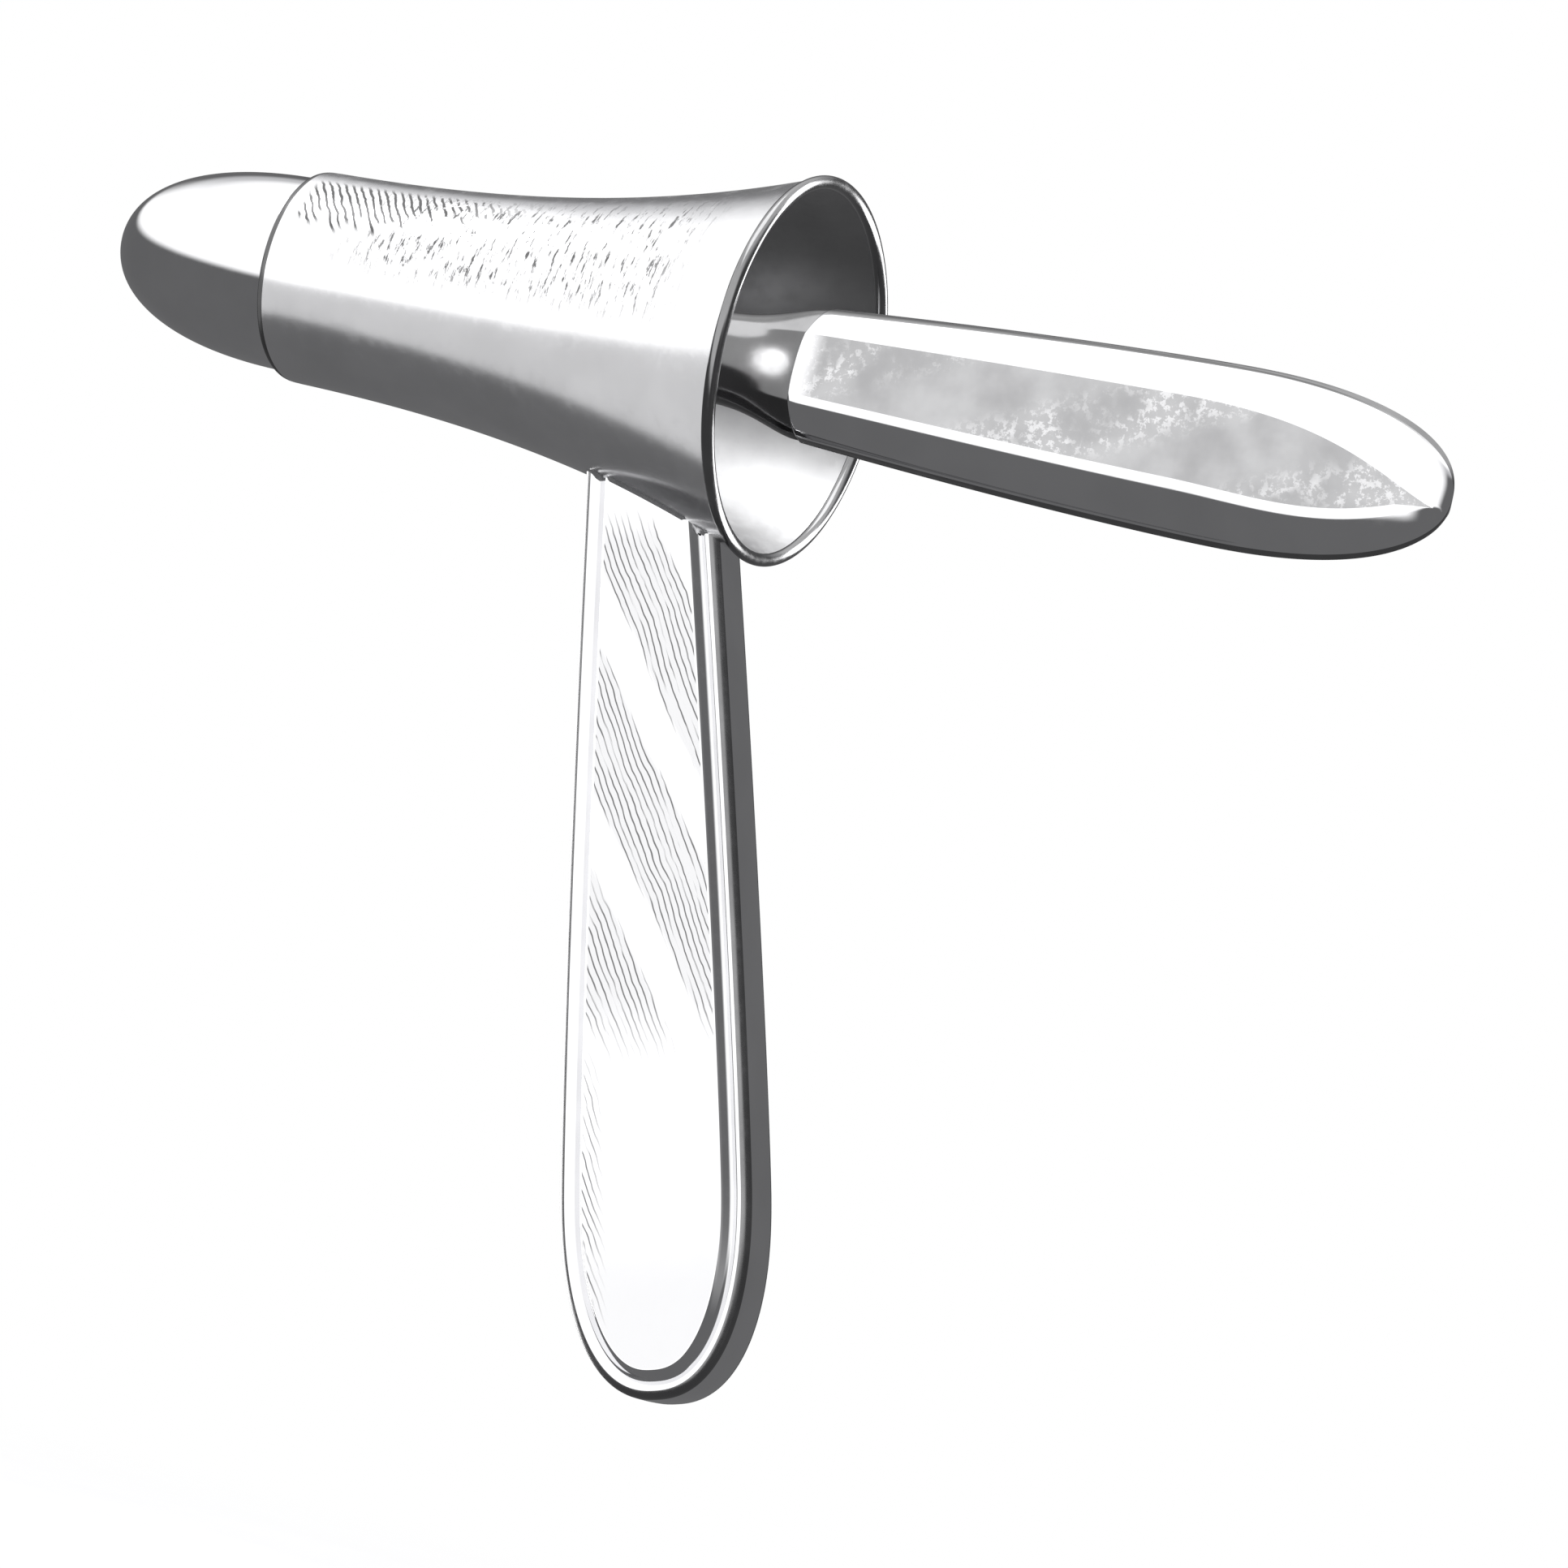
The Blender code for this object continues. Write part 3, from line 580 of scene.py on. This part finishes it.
def grip_rows():
    """The grip's grid, with its bulged and rounded root, and the column where its front panel starts."""
    stations = spread(GRIP_X + ROOT_ROUNDING, GRIP_WIDEST_X, GRIP_SIDE_STATIONS)
    stations += rounded_end(GRIP_WIDEST_X, GRIP_END_X, GRIP_END_STATIONS)
    rows = []
    for x in stations:
        columns, first = grip_columns(x)
        bulge = ROOT_BULGE * (1 - smooth((x - GRIP_X) / ROOT_BULGE_LENGTH))
        half = max(MM, paddle_half_width(x, *GRIP_SIZES))
        rows.append([(x - bulge * max(0.0, 1 - (z / half) ** 2), y, z) for y, z in columns])
    root = rows[0]
    for t in spread(0.0, QUARTER_TURN, ROOT_POINTS)[1:]:
        inset, back = ROOT_ROUNDING * (1 - math.cos(t)), ROOT_ROUNDING * math.sin(t)
        squeeze_y, squeeze_z = 1 - inset / GRIP_HALF_THICK, 1 - inset / GRIP_ROOT_HALF
        rows.insert(0, [(x - back, y * squeeze_y, z * squeeze_z) for x, y, z in root])
    return rows, first


def make_grip(edge_material, panel_material, seam_and_edge_shade_material):
    """The flat grip: mirror-bright shoulders darkened as painted shade where they face up, a satin panel on
    each face, and a darker seam along its edges that is partly a dark joint and partly painted shade.
    """
    rows, first = grip_rows()
    width = len(rows[0])
    column_count = (width + 2) // 2
    back_start = 2 * (column_count - 1) - (first + PANEL_POINTS)
    satin = set(range(first + 1, first + PANEL_POINTS))
    satin |= set(range(back_start, back_start + PANEL_POINTS - 1))
    # The seam faces along the grip's edges take the darker steel: partly a dark joint, partly painted shade.
    seam_and_edge_shade_columns = {0, column_count - 2, column_count - 1, width - 1}

    def finish(r, c):
        if c in seam_and_edge_shade_columns:
            return EDGE_SHADE_AND_SEAM
        return PANEL if c in satin and r >= ROOT_POINTS else EDGE

    piece = grid_piece("grip_body", rows, [edge_material, panel_material, seam_and_edge_shade_material], finish)
    return place(piece, "obturator", "polished_grip", "grip_shell_front", "grip_shell_back")


# ---------------------------------------------------------------- materials

BUMP_DEPTH = 0.02 * MM
STEEL_TINT = (0.985, 0.985, 1.0)


class Tree:
    """Short calls for a node tree whose positions are in millimetres of the object's own space."""

    def __init__(self, name):
        self.material = bpy.data.materials.new(name)
        self.material.use_nodes = True
        self.nodes = self.material.node_tree.nodes
        self.links = self.material.node_tree.links
        self.shader = self.nodes["Principled BSDF"]
        self.shader.inputs["Metallic"].default_value = 1.0
        self.coordinates = self.nodes.new("ShaderNodeTexCoord")
        scaled = self.nodes.new("ShaderNodeVectorMath")
        scaled.operation = "SCALE"
        scaled.inputs["Scale"].default_value = 1 / MM
        self.links.new(self.coordinates.outputs["Object"], scaled.inputs[0])
        self.place = scaled.outputs[0]

    def feed(self, socket, value):
        """Links a socket, or sets a plain number."""
        if isinstance(value, bpy.types.NodeSocket):
            self.links.new(value, socket)
        else:
            socket.default_value = value

    def math(self, operation, first, second=0.0, third=0.0):
        node = self.nodes.new("ShaderNodeMath")
        node.operation = operation
        for socket, value in zip(node.inputs, (first, second, third)):
            self.feed(socket, value)
        return node.outputs[0]

    def product(self, first, *others):
        for other in others:
            first = self.math("MULTIPLY", first, other)
        return first

    def off_centre(self, phase):
        """How far a repeating phase is from the middle of its period, from 0 to 0.5."""
        return self.math("ABSOLUTE", self.math("SUBTRACT", self.math("FRACT", phase), 0.5))

    def ramp(self, value, low, high, out_low=0.0, out_high=1.0):
        """Smooth step from out_low to out_high as value goes from low to high."""
        node = self.nodes.new("ShaderNodeMapRange")
        node.interpolation_type = "SMOOTHSTEP"
        for socket, number in zip(node.inputs, (value, low, high, out_low, out_high)):
            self.feed(socket, number)
        return node.outputs[0]

    def split(self, vector):
        node = self.nodes.new("ShaderNodeSeparateXYZ")
        self.links.new(vector, node.inputs[0])
        return node.outputs[0], node.outputs[1], node.outputs[2]

    def joined(self, x, y, z):
        node = self.nodes.new("ShaderNodeCombineXYZ")
        for socket, value in zip(node.inputs, (x, y, z)):
            self.feed(socket, value)
        return node.outputs[0]

    def noise(self, scale, detail=3.0, vector=None, rough=0.5):
        """Noise whose scale is in waves per millimetre."""
        node = self.nodes.new("ShaderNodeTexNoise")
        node.inputs["Scale"].default_value = scale
        node.inputs["Detail"].default_value = detail
        node.inputs["Roughness"].default_value = rough
        self.links.new(vector or self.place, node.inputs["Vector"])
        return node.outputs["Fac"]

    def grey(self, value):
        """A steel grey of that brightness."""
        node = self.nodes.new("ShaderNodeCombineColor")
        for socket, share in zip(node.inputs, STEEL_TINT):
            self.links.new(self.product(value, share), socket)
        return node.outputs[0]

    def bump(self, height, strength):
        node = self.nodes.new("ShaderNodeBump")
        node.inputs["Strength"].default_value = strength
        node.inputs["Distance"].default_value = BUMP_DEPTH
        self.links.new(height, node.inputs["Height"])
        return node.outputs["Normal"]

    def done(self, brightness, roughness, normal):
        """Wires up the shader and gives the finished material."""
        self.links.new(self.grey(brightness), self.shader.inputs["Base Color"])
        self.links.new(roughness, self.shader.inputs["Roughness"])
        self.links.new(normal, self.shader.inputs["Normal"])
        return self.material


def steel(name, bright, rough, cloud=0.05, haze=0.05, wave=0.12, painted_top_shade=None):
    """Polished steel: slow clouds in its brightness, hazy patches and a hand-polished ripple.

    An optional ramp over how far the surface faces upwards darkens the steel along a top edge: painted shade.
    """
    tree = Tree(name)
    brightness = tree.ramp(tree.noise(0.11, 4.0), 0.3, 0.7, bright - cloud, bright)
    # Painted shade: the steel is darkened where its surface faces up.
    if painted_top_shade:
        upward = tree.split(tree.coordinates.outputs["Normal"])[2]
        brightness = tree.product(brightness, tree.ramp(upward, *painted_top_shade))
    roughness = tree.ramp(tree.noise(0.6, 5.0, rough=0.65), 0.42, 0.75, rough, rough + haze)
    return tree.done(brightness, roughness, tree.bump(tree.noise(0.35, 2.0), wave))


TICK_PITCH = 1.15  # mm along the tube
TICK_TWIST = 9.9  # mm along the tube for a radian of turn
TICK_STRENGTH = 0.88
PIT_STRENGTH = 0.84


def turning_ticks(tree, x, turn):
    """Slanting tool marks on the upper side near the tip. Away from it they shorten and break up."""
    skewed = tree.math("MULTIPLY_ADD", turn, TICK_TWIST, x)
    wandering = tree.math("MULTIPLY_ADD", tree.noise(0.5, 2.0), 0.9, skewed)
    phase = tree.math("DIVIDE", wandering, TICK_PITCH)
    tick = tree.ramp(tree.off_centre(phase), 0.24, 0.11)
    each = tree.noise(0.77, 1.0, tree.joined(tree.math("FLOOR", phase), 0.0, 0.0))
    shortening = tree.ramp(x, -38.0, -26.0, 0.0, 0.26)
    reach = tree.math("ADD", tree.ramp(each, 0.3, 0.7, 0.2, 0.46), shortening)
    upper = tree.product(tree.ramp(turn, reach, tree.math("ADD", reach, 0.1)), tree.ramp(turn, 1.0, 0.9))
    stretch = tree.product(tree.ramp(x, -47.8, -46.5), tree.ramp(x, -12.0, -28.0))
    gaps_below = tree.ramp(x, -38.0, -26.0, 0.1, 0.44)
    whole_above = tree.ramp(x, -38.0, -26.0, 0.3, 0.48)
    broken = tree.ramp(tree.noise(0.8, 3.0), gaps_below, whole_above)
    return tree.product(tick, upper, stretch, broken)


def small_pits(tree, x, turn):
    """Short streaky pits over the upper part of the side, between the tip and the flare."""
    streaks = tree.joined(tree.product(x, 1.1), tree.product(turn, 3.2), 0.0)
    pits = tree.ramp(tree.noise(1.5, 4.0, streaks, rough=0.75), 0.55, 0.605)
    height = tree.product(tree.ramp(turn, -0.15, 0.15), tree.ramp(turn, 1.05, 0.7))
    length = tree.product(tree.ramp(x, -44.0, -30.0), tree.ramp(x, 14.0, 4.0))
    return tree.product(pits, height, length)


def tube_steel():
    """The tube's steel, with turning ticks near its tip and small pits over its upper side."""
    tree = Tree("tube_steel")
    x, y, z = tree.split(tree.place)
    turn = tree.math("ARCTAN2", z, tree.product(y, -1.0))
    ticks = tree.product(turning_ticks(tree, x, turn), TICK_STRENGTH)
    pits = tree.product(small_pits(tree, x, turn), PIT_STRENGTH)
    marks = tree.math("MAXIMUM", ticks, pits)
    clean = tree.ramp(tree.noise(0.11, 4.0), 0.3, 0.7, 0.72, 0.78)
    brightness = tree.product(clean, tree.math("SUBTRACT", 1.0, marks))
    roughness = tree.ramp(tree.noise(0.5, 5.0, rough=0.7), 0.45, 0.75, 0.19, 0.27)
    ripple = tree.math("ADD", tree.noise(0.5, 4.0, rough=0.6), tree.product(marks, -0.5))
    return tree.done(brightness, roughness, tree.bump(ripple, 0.35))


HAIR_PITCH = 0.8  # mm across the panel
HAIR_LEAN = 0.358  # mm across for each mm down
BAND_PITCH = 14.3
BAND_START = 21.0
BAND_LEAN = 0.48


def leaning(tree, across, depth, lean, wobble):
    """A place across the panel that is the same all along a line of that lean."""
    return tree.math("ADD", tree.math("SUBTRACT", across, tree.product(depth, lean)), wobble)


def handle_panel_steel():
    """The handle's panel: bands of fine hairlines that lean across it, fainter towards the end."""
    tree = Tree("handle_panel_steel")
    turned = tree.nodes.new("ShaderNodeVectorRotate")
    turned.rotation_type = "Y_AXIS"
    turned.inputs["Angle"].default_value = HANDLE_LEAN
    tree.links.new(tree.place, turned.inputs["Vector"])
    across, _, up = tree.split(turned.outputs[0])
    depth = tree.product(up, -1.0)
    wobble = tree.product(tree.noise(0.06, 2.0), 2.2)

    line = leaning(tree, across, depth, HAIR_LEAN, wobble)
    hair = tree.math("DIVIDE", tree.math("MULTIPLY_ADD", tree.noise(0.3, 2.0), 0.7, line), HAIR_PITCH)
    hair = tree.ramp(tree.off_centre(hair), 0.17, 0.05)
    stretched = tree.joined(tree.product(line, 1.3), 0.0, tree.product(depth, 0.07))
    hair = tree.product(hair, tree.ramp(tree.noise(1.0, 3.0, stretched), 0.36, 0.5))

    slant = leaning(tree, across, depth, BAND_LEAN, wobble)
    band = tree.math("DIVIDE", tree.math("ADD", slant, BAND_START), BAND_PITCH)
    band = tree.ramp(tree.off_centre(band), 0.36, 0.31)
    band = tree.product(band, tree.ramp(depth, 20.0, 26.0), tree.ramp(depth, 92.0, 80.0))
    low_side = tree.product(tree.ramp(across, -5.5, -8.0), tree.ramp(depth, 84.0, 96.0))
    lines = tree.product(hair, tree.math("MAXIMUM", band, low_side))

    clean = tree.math("SUBTRACT", 0.80, tree.product(band, 0.16))
    clean = tree.math("SUBTRACT", clean, tree.ramp(depth, 96.0, 118.0, 0.0, 0.14))
    brightness = tree.product(clean, tree.math("SUBTRACT", 1.0, tree.product(lines, 0.8)))
    roughness = tree.ramp(tree.noise(0.4, 5.0, rough=0.7), 0.4, 0.75, 0.06, 0.18)
    return tree.done(brightness, roughness, tree.bump(tree.product(lines, -1.0), 0.5))


DRIFT_PITCH = 37.0  # mm along the grip
DRIFT_START = -4.0
DRIFT_LEAN = -2.2


def grip_panel_steel():
    """The grip's panel: a satin face, mottled with brighter flakes that gather in slanting drifts, with a
    painted highlight at its root end.
    """
    tree = Tree("grip_panel_steel")
    x, _, z = tree.split(tree.place)
    slant = tree.math("ADD", x, tree.product(z, DRIFT_LEAN))
    drift = tree.math("DIVIDE", tree.math("ADD", slant, DRIFT_START), DRIFT_PITCH)
    drift = tree.ramp(tree.off_centre(drift), 0.34, 0.08)
    soft = tree.noise(0.16, 3.0)
    flakes = tree.ramp(tree.noise(0.95, 6.0, rough=0.72), 0.50, 0.56)
    flakes = tree.product(flakes, drift, tree.ramp(soft, 0.35, 0.55))
    # Painted highlight: the panel is made brighter over its first 2.5 mm from the root end.
    root = tree.ramp(x, GRIP_X / MM + 2.5, GRIP_X / MM)
    base = tree.ramp(soft, 0.25, 0.75, 0.33, 0.45)
    base = tree.math("ADD", base, tree.product(flakes, 0.2))
    base = tree.math("ADD", base, tree.product(root, 0.35))
    rough = tree.math("SUBTRACT", 0.26, tree.product(flakes, 0.1))
    return tree.done(base, rough, tree.bump(tree.noise(1.4, 5.0), 0.3))


def braze_metal():
    """The braze: a little duller and more uneven than the steel."""
    tree = Tree("braze_metal")
    brightness = tree.ramp(tree.noise(0.7, 3.0), 0.3, 0.7, 0.62, 0.74)
    roughness = tree.ramp(tree.noise(1.5, 4.0), 0.35, 0.7, 0.2, 0.34)
    return tree.done(brightness, roughness, tree.bump(tree.noise(1.2, 3.0), 0.35))


def dress_nodes():
    """The one CAD node that stays is the saddle, which lies inside the handle."""
    saddle = frame["nodes"]["handle_saddle"]
    saddle.data.materials.clear()
    saddle.data.materials.append(steel("satin_forging", 0.55, 0.4, haze=0.15, wave=0.5))


# ---------------------------------------------------------------- stage

STUDIO_STRENGTH = 1.5
DARK = 0.105
DARK_GREY = (DARK, DARK, 0.107, 1.0)
WHITE = (1.0, 1.0, 1.0, 1.0)
COOL = 1.02  # greys lean a little to blue
COOL_BELOW = 0.9

# The table's edge and the back flat's top are stops of (degrees of height, level). A flat's own edge is a
# span of how far a direction points towards it.
TABLE_NORMAL = (0.181, -0.428, 0.885)
TABLE_EDGE = ((-3, DARK), (4, 1.0))
BACK_FLAT_TOP = ((32, DARK), (43, 0.45), (54, 1.0))
BACK_FLAT = (0.609, 0.793, 0.45)
BACK_FLAT_EDGE = (-0.10, 0.35)
FRONT_FLAT = (0.68, -0.68, -0.26)
FRONT_FLAT_EDGE = (0.85, 0.94)


def make_world():
    """A white studio that the steel mirrors, with a dark table, a dark flat behind and a small one in front.

    The table tilts up at the back. The camera itself sees plain white.
    """
    world = bpy.data.worlds.new("studio")
    bpy.context.scene.world = world
    world.use_nodes = True
    nodes, links = world.node_tree.nodes, world.node_tree.links
    nodes.clear()

    def node(kind, **settings):
        made = nodes.new(kind)
        for key, value in settings.items():
            setattr(made, key, value)
        return made

    direction = node("ShaderNodeTexCoord").outputs["Generated"]

    def along(axis):
        """How far the direction points along an axis, from -1 to 1."""
        dot = node("ShaderNodeVectorMath", operation="DOT_PRODUCT")
        links.new(direction, dot.inputs[0])
        dot.inputs[1].default_value = axis
        return dot.outputs["Value"]

    def spanned(value, low, high, kind="LINEAR"):
        """0 to 1 as the value goes from low to high."""
        span = node("ShaderNodeMapRange", interpolation_type=kind)
        span.inputs["From Min"].default_value = low
        span.inputs["From Max"].default_value = high
        links.new(value, span.inputs["Value"])
        return span.outputs[0]

    def level(axis, stops):
        """Brightness by height above the plane square to an axis, from stops of (degrees, level)."""
        ramp = node("ShaderNodeValToRGB")
        ramp.color_ramp.interpolation = "EASE"
        links.new(spanned(along(axis), -1.0, 1.0), ramp.inputs["Fac"])
        points = ramp.color_ramp.elements
        while len(points) < len(stops):
            points.new(0.5)
        for point, (degrees, value) in zip(points, stops):
            point.position = 0.5 + 0.5 * math.sin(math.radians(degrees))
            point.color = (value, value, value * COOL if value < COOL_BELOW else value, 1.0)
        return ramp.outputs["Color"]

    def mixed(factor, first, second):
        made = node("ShaderNodeMix", data_type="RGBA")
        links.new(factor, made.inputs["Factor"])
        links.new(first, made.inputs["A"])
        if isinstance(second, tuple):
            made.inputs["B"].default_value = second
        else:
            links.new(second, made.inputs["B"])
        return made.outputs["Result"]

    behind = spanned(along(BACK_FLAT), *BACK_FLAT_EDGE, kind="SMOOTHSTEP")
    in_front = spanned(along(FRONT_FLAT), *FRONT_FLAT_EDGE, kind="SMOOTHSTEP")
    room = mixed(behind, level(TABLE_NORMAL, TABLE_EDGE), level((0, 0, 1), BACK_FLAT_TOP))
    reflected = node("ShaderNodeBackground")
    reflected.inputs["Strength"].default_value = STUDIO_STRENGTH
    links.new(mixed(in_front, room, DARK_GREY), reflected.inputs["Color"])
    backdrop = node("ShaderNodeBackground")
    backdrop.inputs["Color"].default_value = WHITE
    choice = node("ShaderNodeMixShader")
    links.new(node("ShaderNodeLightPath").outputs["Is Camera Ray"], choice.inputs[0])
    links.new(reflected.outputs[0], choice.inputs[1])
    links.new(backdrop.outputs[0], choice.inputs[2])
    links.new(choice.outputs[0], node("ShaderNodeOutputWorld").inputs["Surface"])


FLOOR_DROP = 60 * MM
FLOOR_RADIUS = 1.2
FLOOR_SEGMENTS = 96
FADE_START = 0.35
FADE_END = 1.0


def floor_paper():
    """Pale paper that fades into the white backdrop away from the middle."""
    tree = Tree("floor_paper")
    tree.shader.inputs["Metallic"].default_value = 0.0
    tree.shader.inputs["Roughness"].default_value = 0.9
    paper = tree.ramp(tree.noise(0.02), 0.3, 0.7, 0.80, 0.82)
    tree.links.new(tree.grey(paper), tree.shader.inputs["Base Color"])
    length = tree.nodes.new("ShaderNodeVectorMath")
    length.operation = "LENGTH"
    tree.links.new(tree.place, length.inputs[0])
    glow = tree.nodes.new("ShaderNodeEmission")
    mix = tree.nodes.new("ShaderNodeMixShader")
    fade = tree.ramp(length.outputs["Value"], FADE_START / MM, FADE_END / MM)
    tree.links.new(fade, mix.inputs[0])
    tree.links.new(tree.shader.outputs[0], mix.inputs[1])
    tree.links.new(glow.outputs[0], mix.inputs[2])
    tree.links.new(mix.outputs[0], tree.nodes["Material Output"].inputs["Surface"])
    return tree.material


def make_floor():
    """A round floor some way below the object. Polished metal doesn't mirror it."""
    work = bmesh.new()
    bmesh.ops.create_circle(work, cap_ends=True, segments=FLOOR_SEGMENTS, radius=FLOOR_RADIUS)
    mesh = bpy.data.meshes.new("floor")
    work.to_mesh(mesh)
    work.free()
    mesh.materials.append(floor_paper())
    floor = bpy.data.objects.new("floor", mesh)
    floor.location = (MIDDLE.x, MIDDLE.y, CAD_LOW.z - FLOOR_DROP)
    floor.visible_glossy = False
    bpy.context.scene.collection.objects.link(floor)


def make_light(name, target, direction, distance, size, energy, piece=None):
    """A soft panel of light aimed at target, size metres wide and high. With a piece, it lights only that."""
    light = bpy.data.lights.new(name, "AREA")
    light.shape = "RECTANGLE"
    light.size, light.size_y = size
    light.energy = energy
    panel = bpy.data.objects.new(name, light)
    away = Vector(direction).normalized()
    panel.location = Vector(target) + away * distance
    panel.rotation_mode = "QUATERNION"
    panel.rotation_quaternion = (-away).to_track_quat("-Z", "Y")
    panel.visible_camera = False
    bpy.context.scene.collection.objects.link(panel)
    if piece:
        lit = bpy.data.collections.new(name + "_lit")
        lit.objects.link(piece)
        panel.light_linking.receiver_collection = lit
        panel.light_linking.blocker_collection = lit


def make_lights(tube, bead, neck, handle):
    """One soft box over everything, and a card or a small lamp for each piece that needs its own."""
    tube_middle = (-5.0 * MM, 0.0, 0.0)
    mouth = (MOUTH_X, 0.0, 0.0)
    neck_crown = (GRIP_X - 3.7 * MM, -5.9 * MM, 1.9 * MM)
    make_light("softbox", MIDDLE, (-0.25, -0.25, 0.9), 0.95, (0.7, 0.7), 4.0)
    make_light("tube_card", tube_middle, (-0.786, -0.491, -0.375), 0.7, (0.84, 0.58), 0.95, tube)
    make_light("mouth_light", mouth, (0.42, -0.1, 0.9), 0.5, (0.16, 0.16), 5.0, tube)
    make_light("bead_light", mouth, (0.69, 0.72, 0.1), 0.5, (0.25, 1.2), 6.0, bead)
    make_light("neck_light", neck_crown, (-0.02, -0.77, 0.64), 0.05, (0.003, 0.3), 0.06, neck)
    make_light("handle_card", MIDDLE, (-0.95, 0.3, -0.08), 0.6, (0.6, 0.5), 4.0, handle)


VIEW_AZIMUTH = math.radians(24.2)
VIEW_ELEVATION = math.radians(-4.8)
VIEW_ROLL = math.radians(14.8)
VIEW_DISTANCE = 0.7776
VIEW_LENS = 149.2
VIEW_CLIP_START = 0.05
AIM_OFFSET = Vector((17.2, 0.0, 1.0)) * MM


def make_camera():
    """A long lens from the user's right and a little below, rolled so that the handle hangs straight."""
    lens = bpy.data.cameras.new("camera")
    lens.lens = VIEW_LENS
    lens.clip_start = VIEW_CLIP_START
    camera = bpy.data.objects.new("camera", lens)
    level, rise = math.cos(VIEW_ELEVATION), math.sin(VIEW_ELEVATION)
    back = Vector((math.sin(VIEW_AZIMUTH) * level, -math.cos(VIEW_AZIMUTH) * level, rise))
    camera.location = MIDDLE + AIM_OFFSET + back * VIEW_DISTANCE
    camera.rotation_mode = "QUATERNION"
    camera.rotation_quaternion = (-back).to_track_quat("-Z", "Y") @ Quaternion((0, 0, 1), VIEW_ROLL)
    bpy.context.scene.collection.objects.link(camera)
    bpy.context.scene.camera = camera


def main():
    bpy.context.scene.view_settings.view_transform = "Standard"
    make_camera()
    make_world()
    make_floor()
    dress_nodes()
    # Painted shade: a dark copy of the steel for the tube's distal edge.
    lip_shade_steel = steel("lip_painted_shade_steel", 0.15, 0.26, cloud=0.03, haze=0.1)
    # Painted shade: a dark copy of the steel for the handle's rounded edges, also used on the grip's seam
    # faces.
    edge_shade_and_seam_steel = steel("painted_edge_shade_and_seam_steel", 0.26, 0.26, haze=0.1)
    barrel = steel("barrel_steel", 0.76, 0.05)
    # Painted shade: the grip's shoulders are darkened where they face up.
    grip_edge = steel("grip_edge_steel_top_shade", 0.78, 0.06, painted_top_shade=(0.42, 0.85, 1.0, 0.1))
    # Painted shade: the bore's steel is made darker than the outside; its higher roughness is the satin
    # finish.
    tube = make_tube(tube_steel(), steel("bore_satin_painted_shade", 0.36, 0.40, haze=0.1), lip_shade_steel)
    # Painted shade: the bead's steel is made dark grey.
    bead = make_mouth_bead(steel("bead_steel", 0.25, 0.16, haze=0.08))
    handle = make_handle(steel("handle_edge_steel", 0.80, 0.06), handle_panel_steel(), edge_shade_and_seam_steel)
    make_braze(braze_metal())
    # Painted shade: the nose is darkened where it faces straight up.
    make_nose(steel("nose_steel", 0.76, 0.05, wave=0.06, painted_top_shade=(0.9, 0.995, 1.0, 0.25)))
    make_sleeve(barrel)
    make_rear_cone(barrel)
    # Painted shade: the neck's steel is made dark grey.
    neck = make_neck(steel("neck_steel", 0.16, 0.16))
    make_grip(grip_edge, grip_panel_steel(), edge_shade_and_seam_steel)
    make_lights(tube, bead, neck, handle)


main()
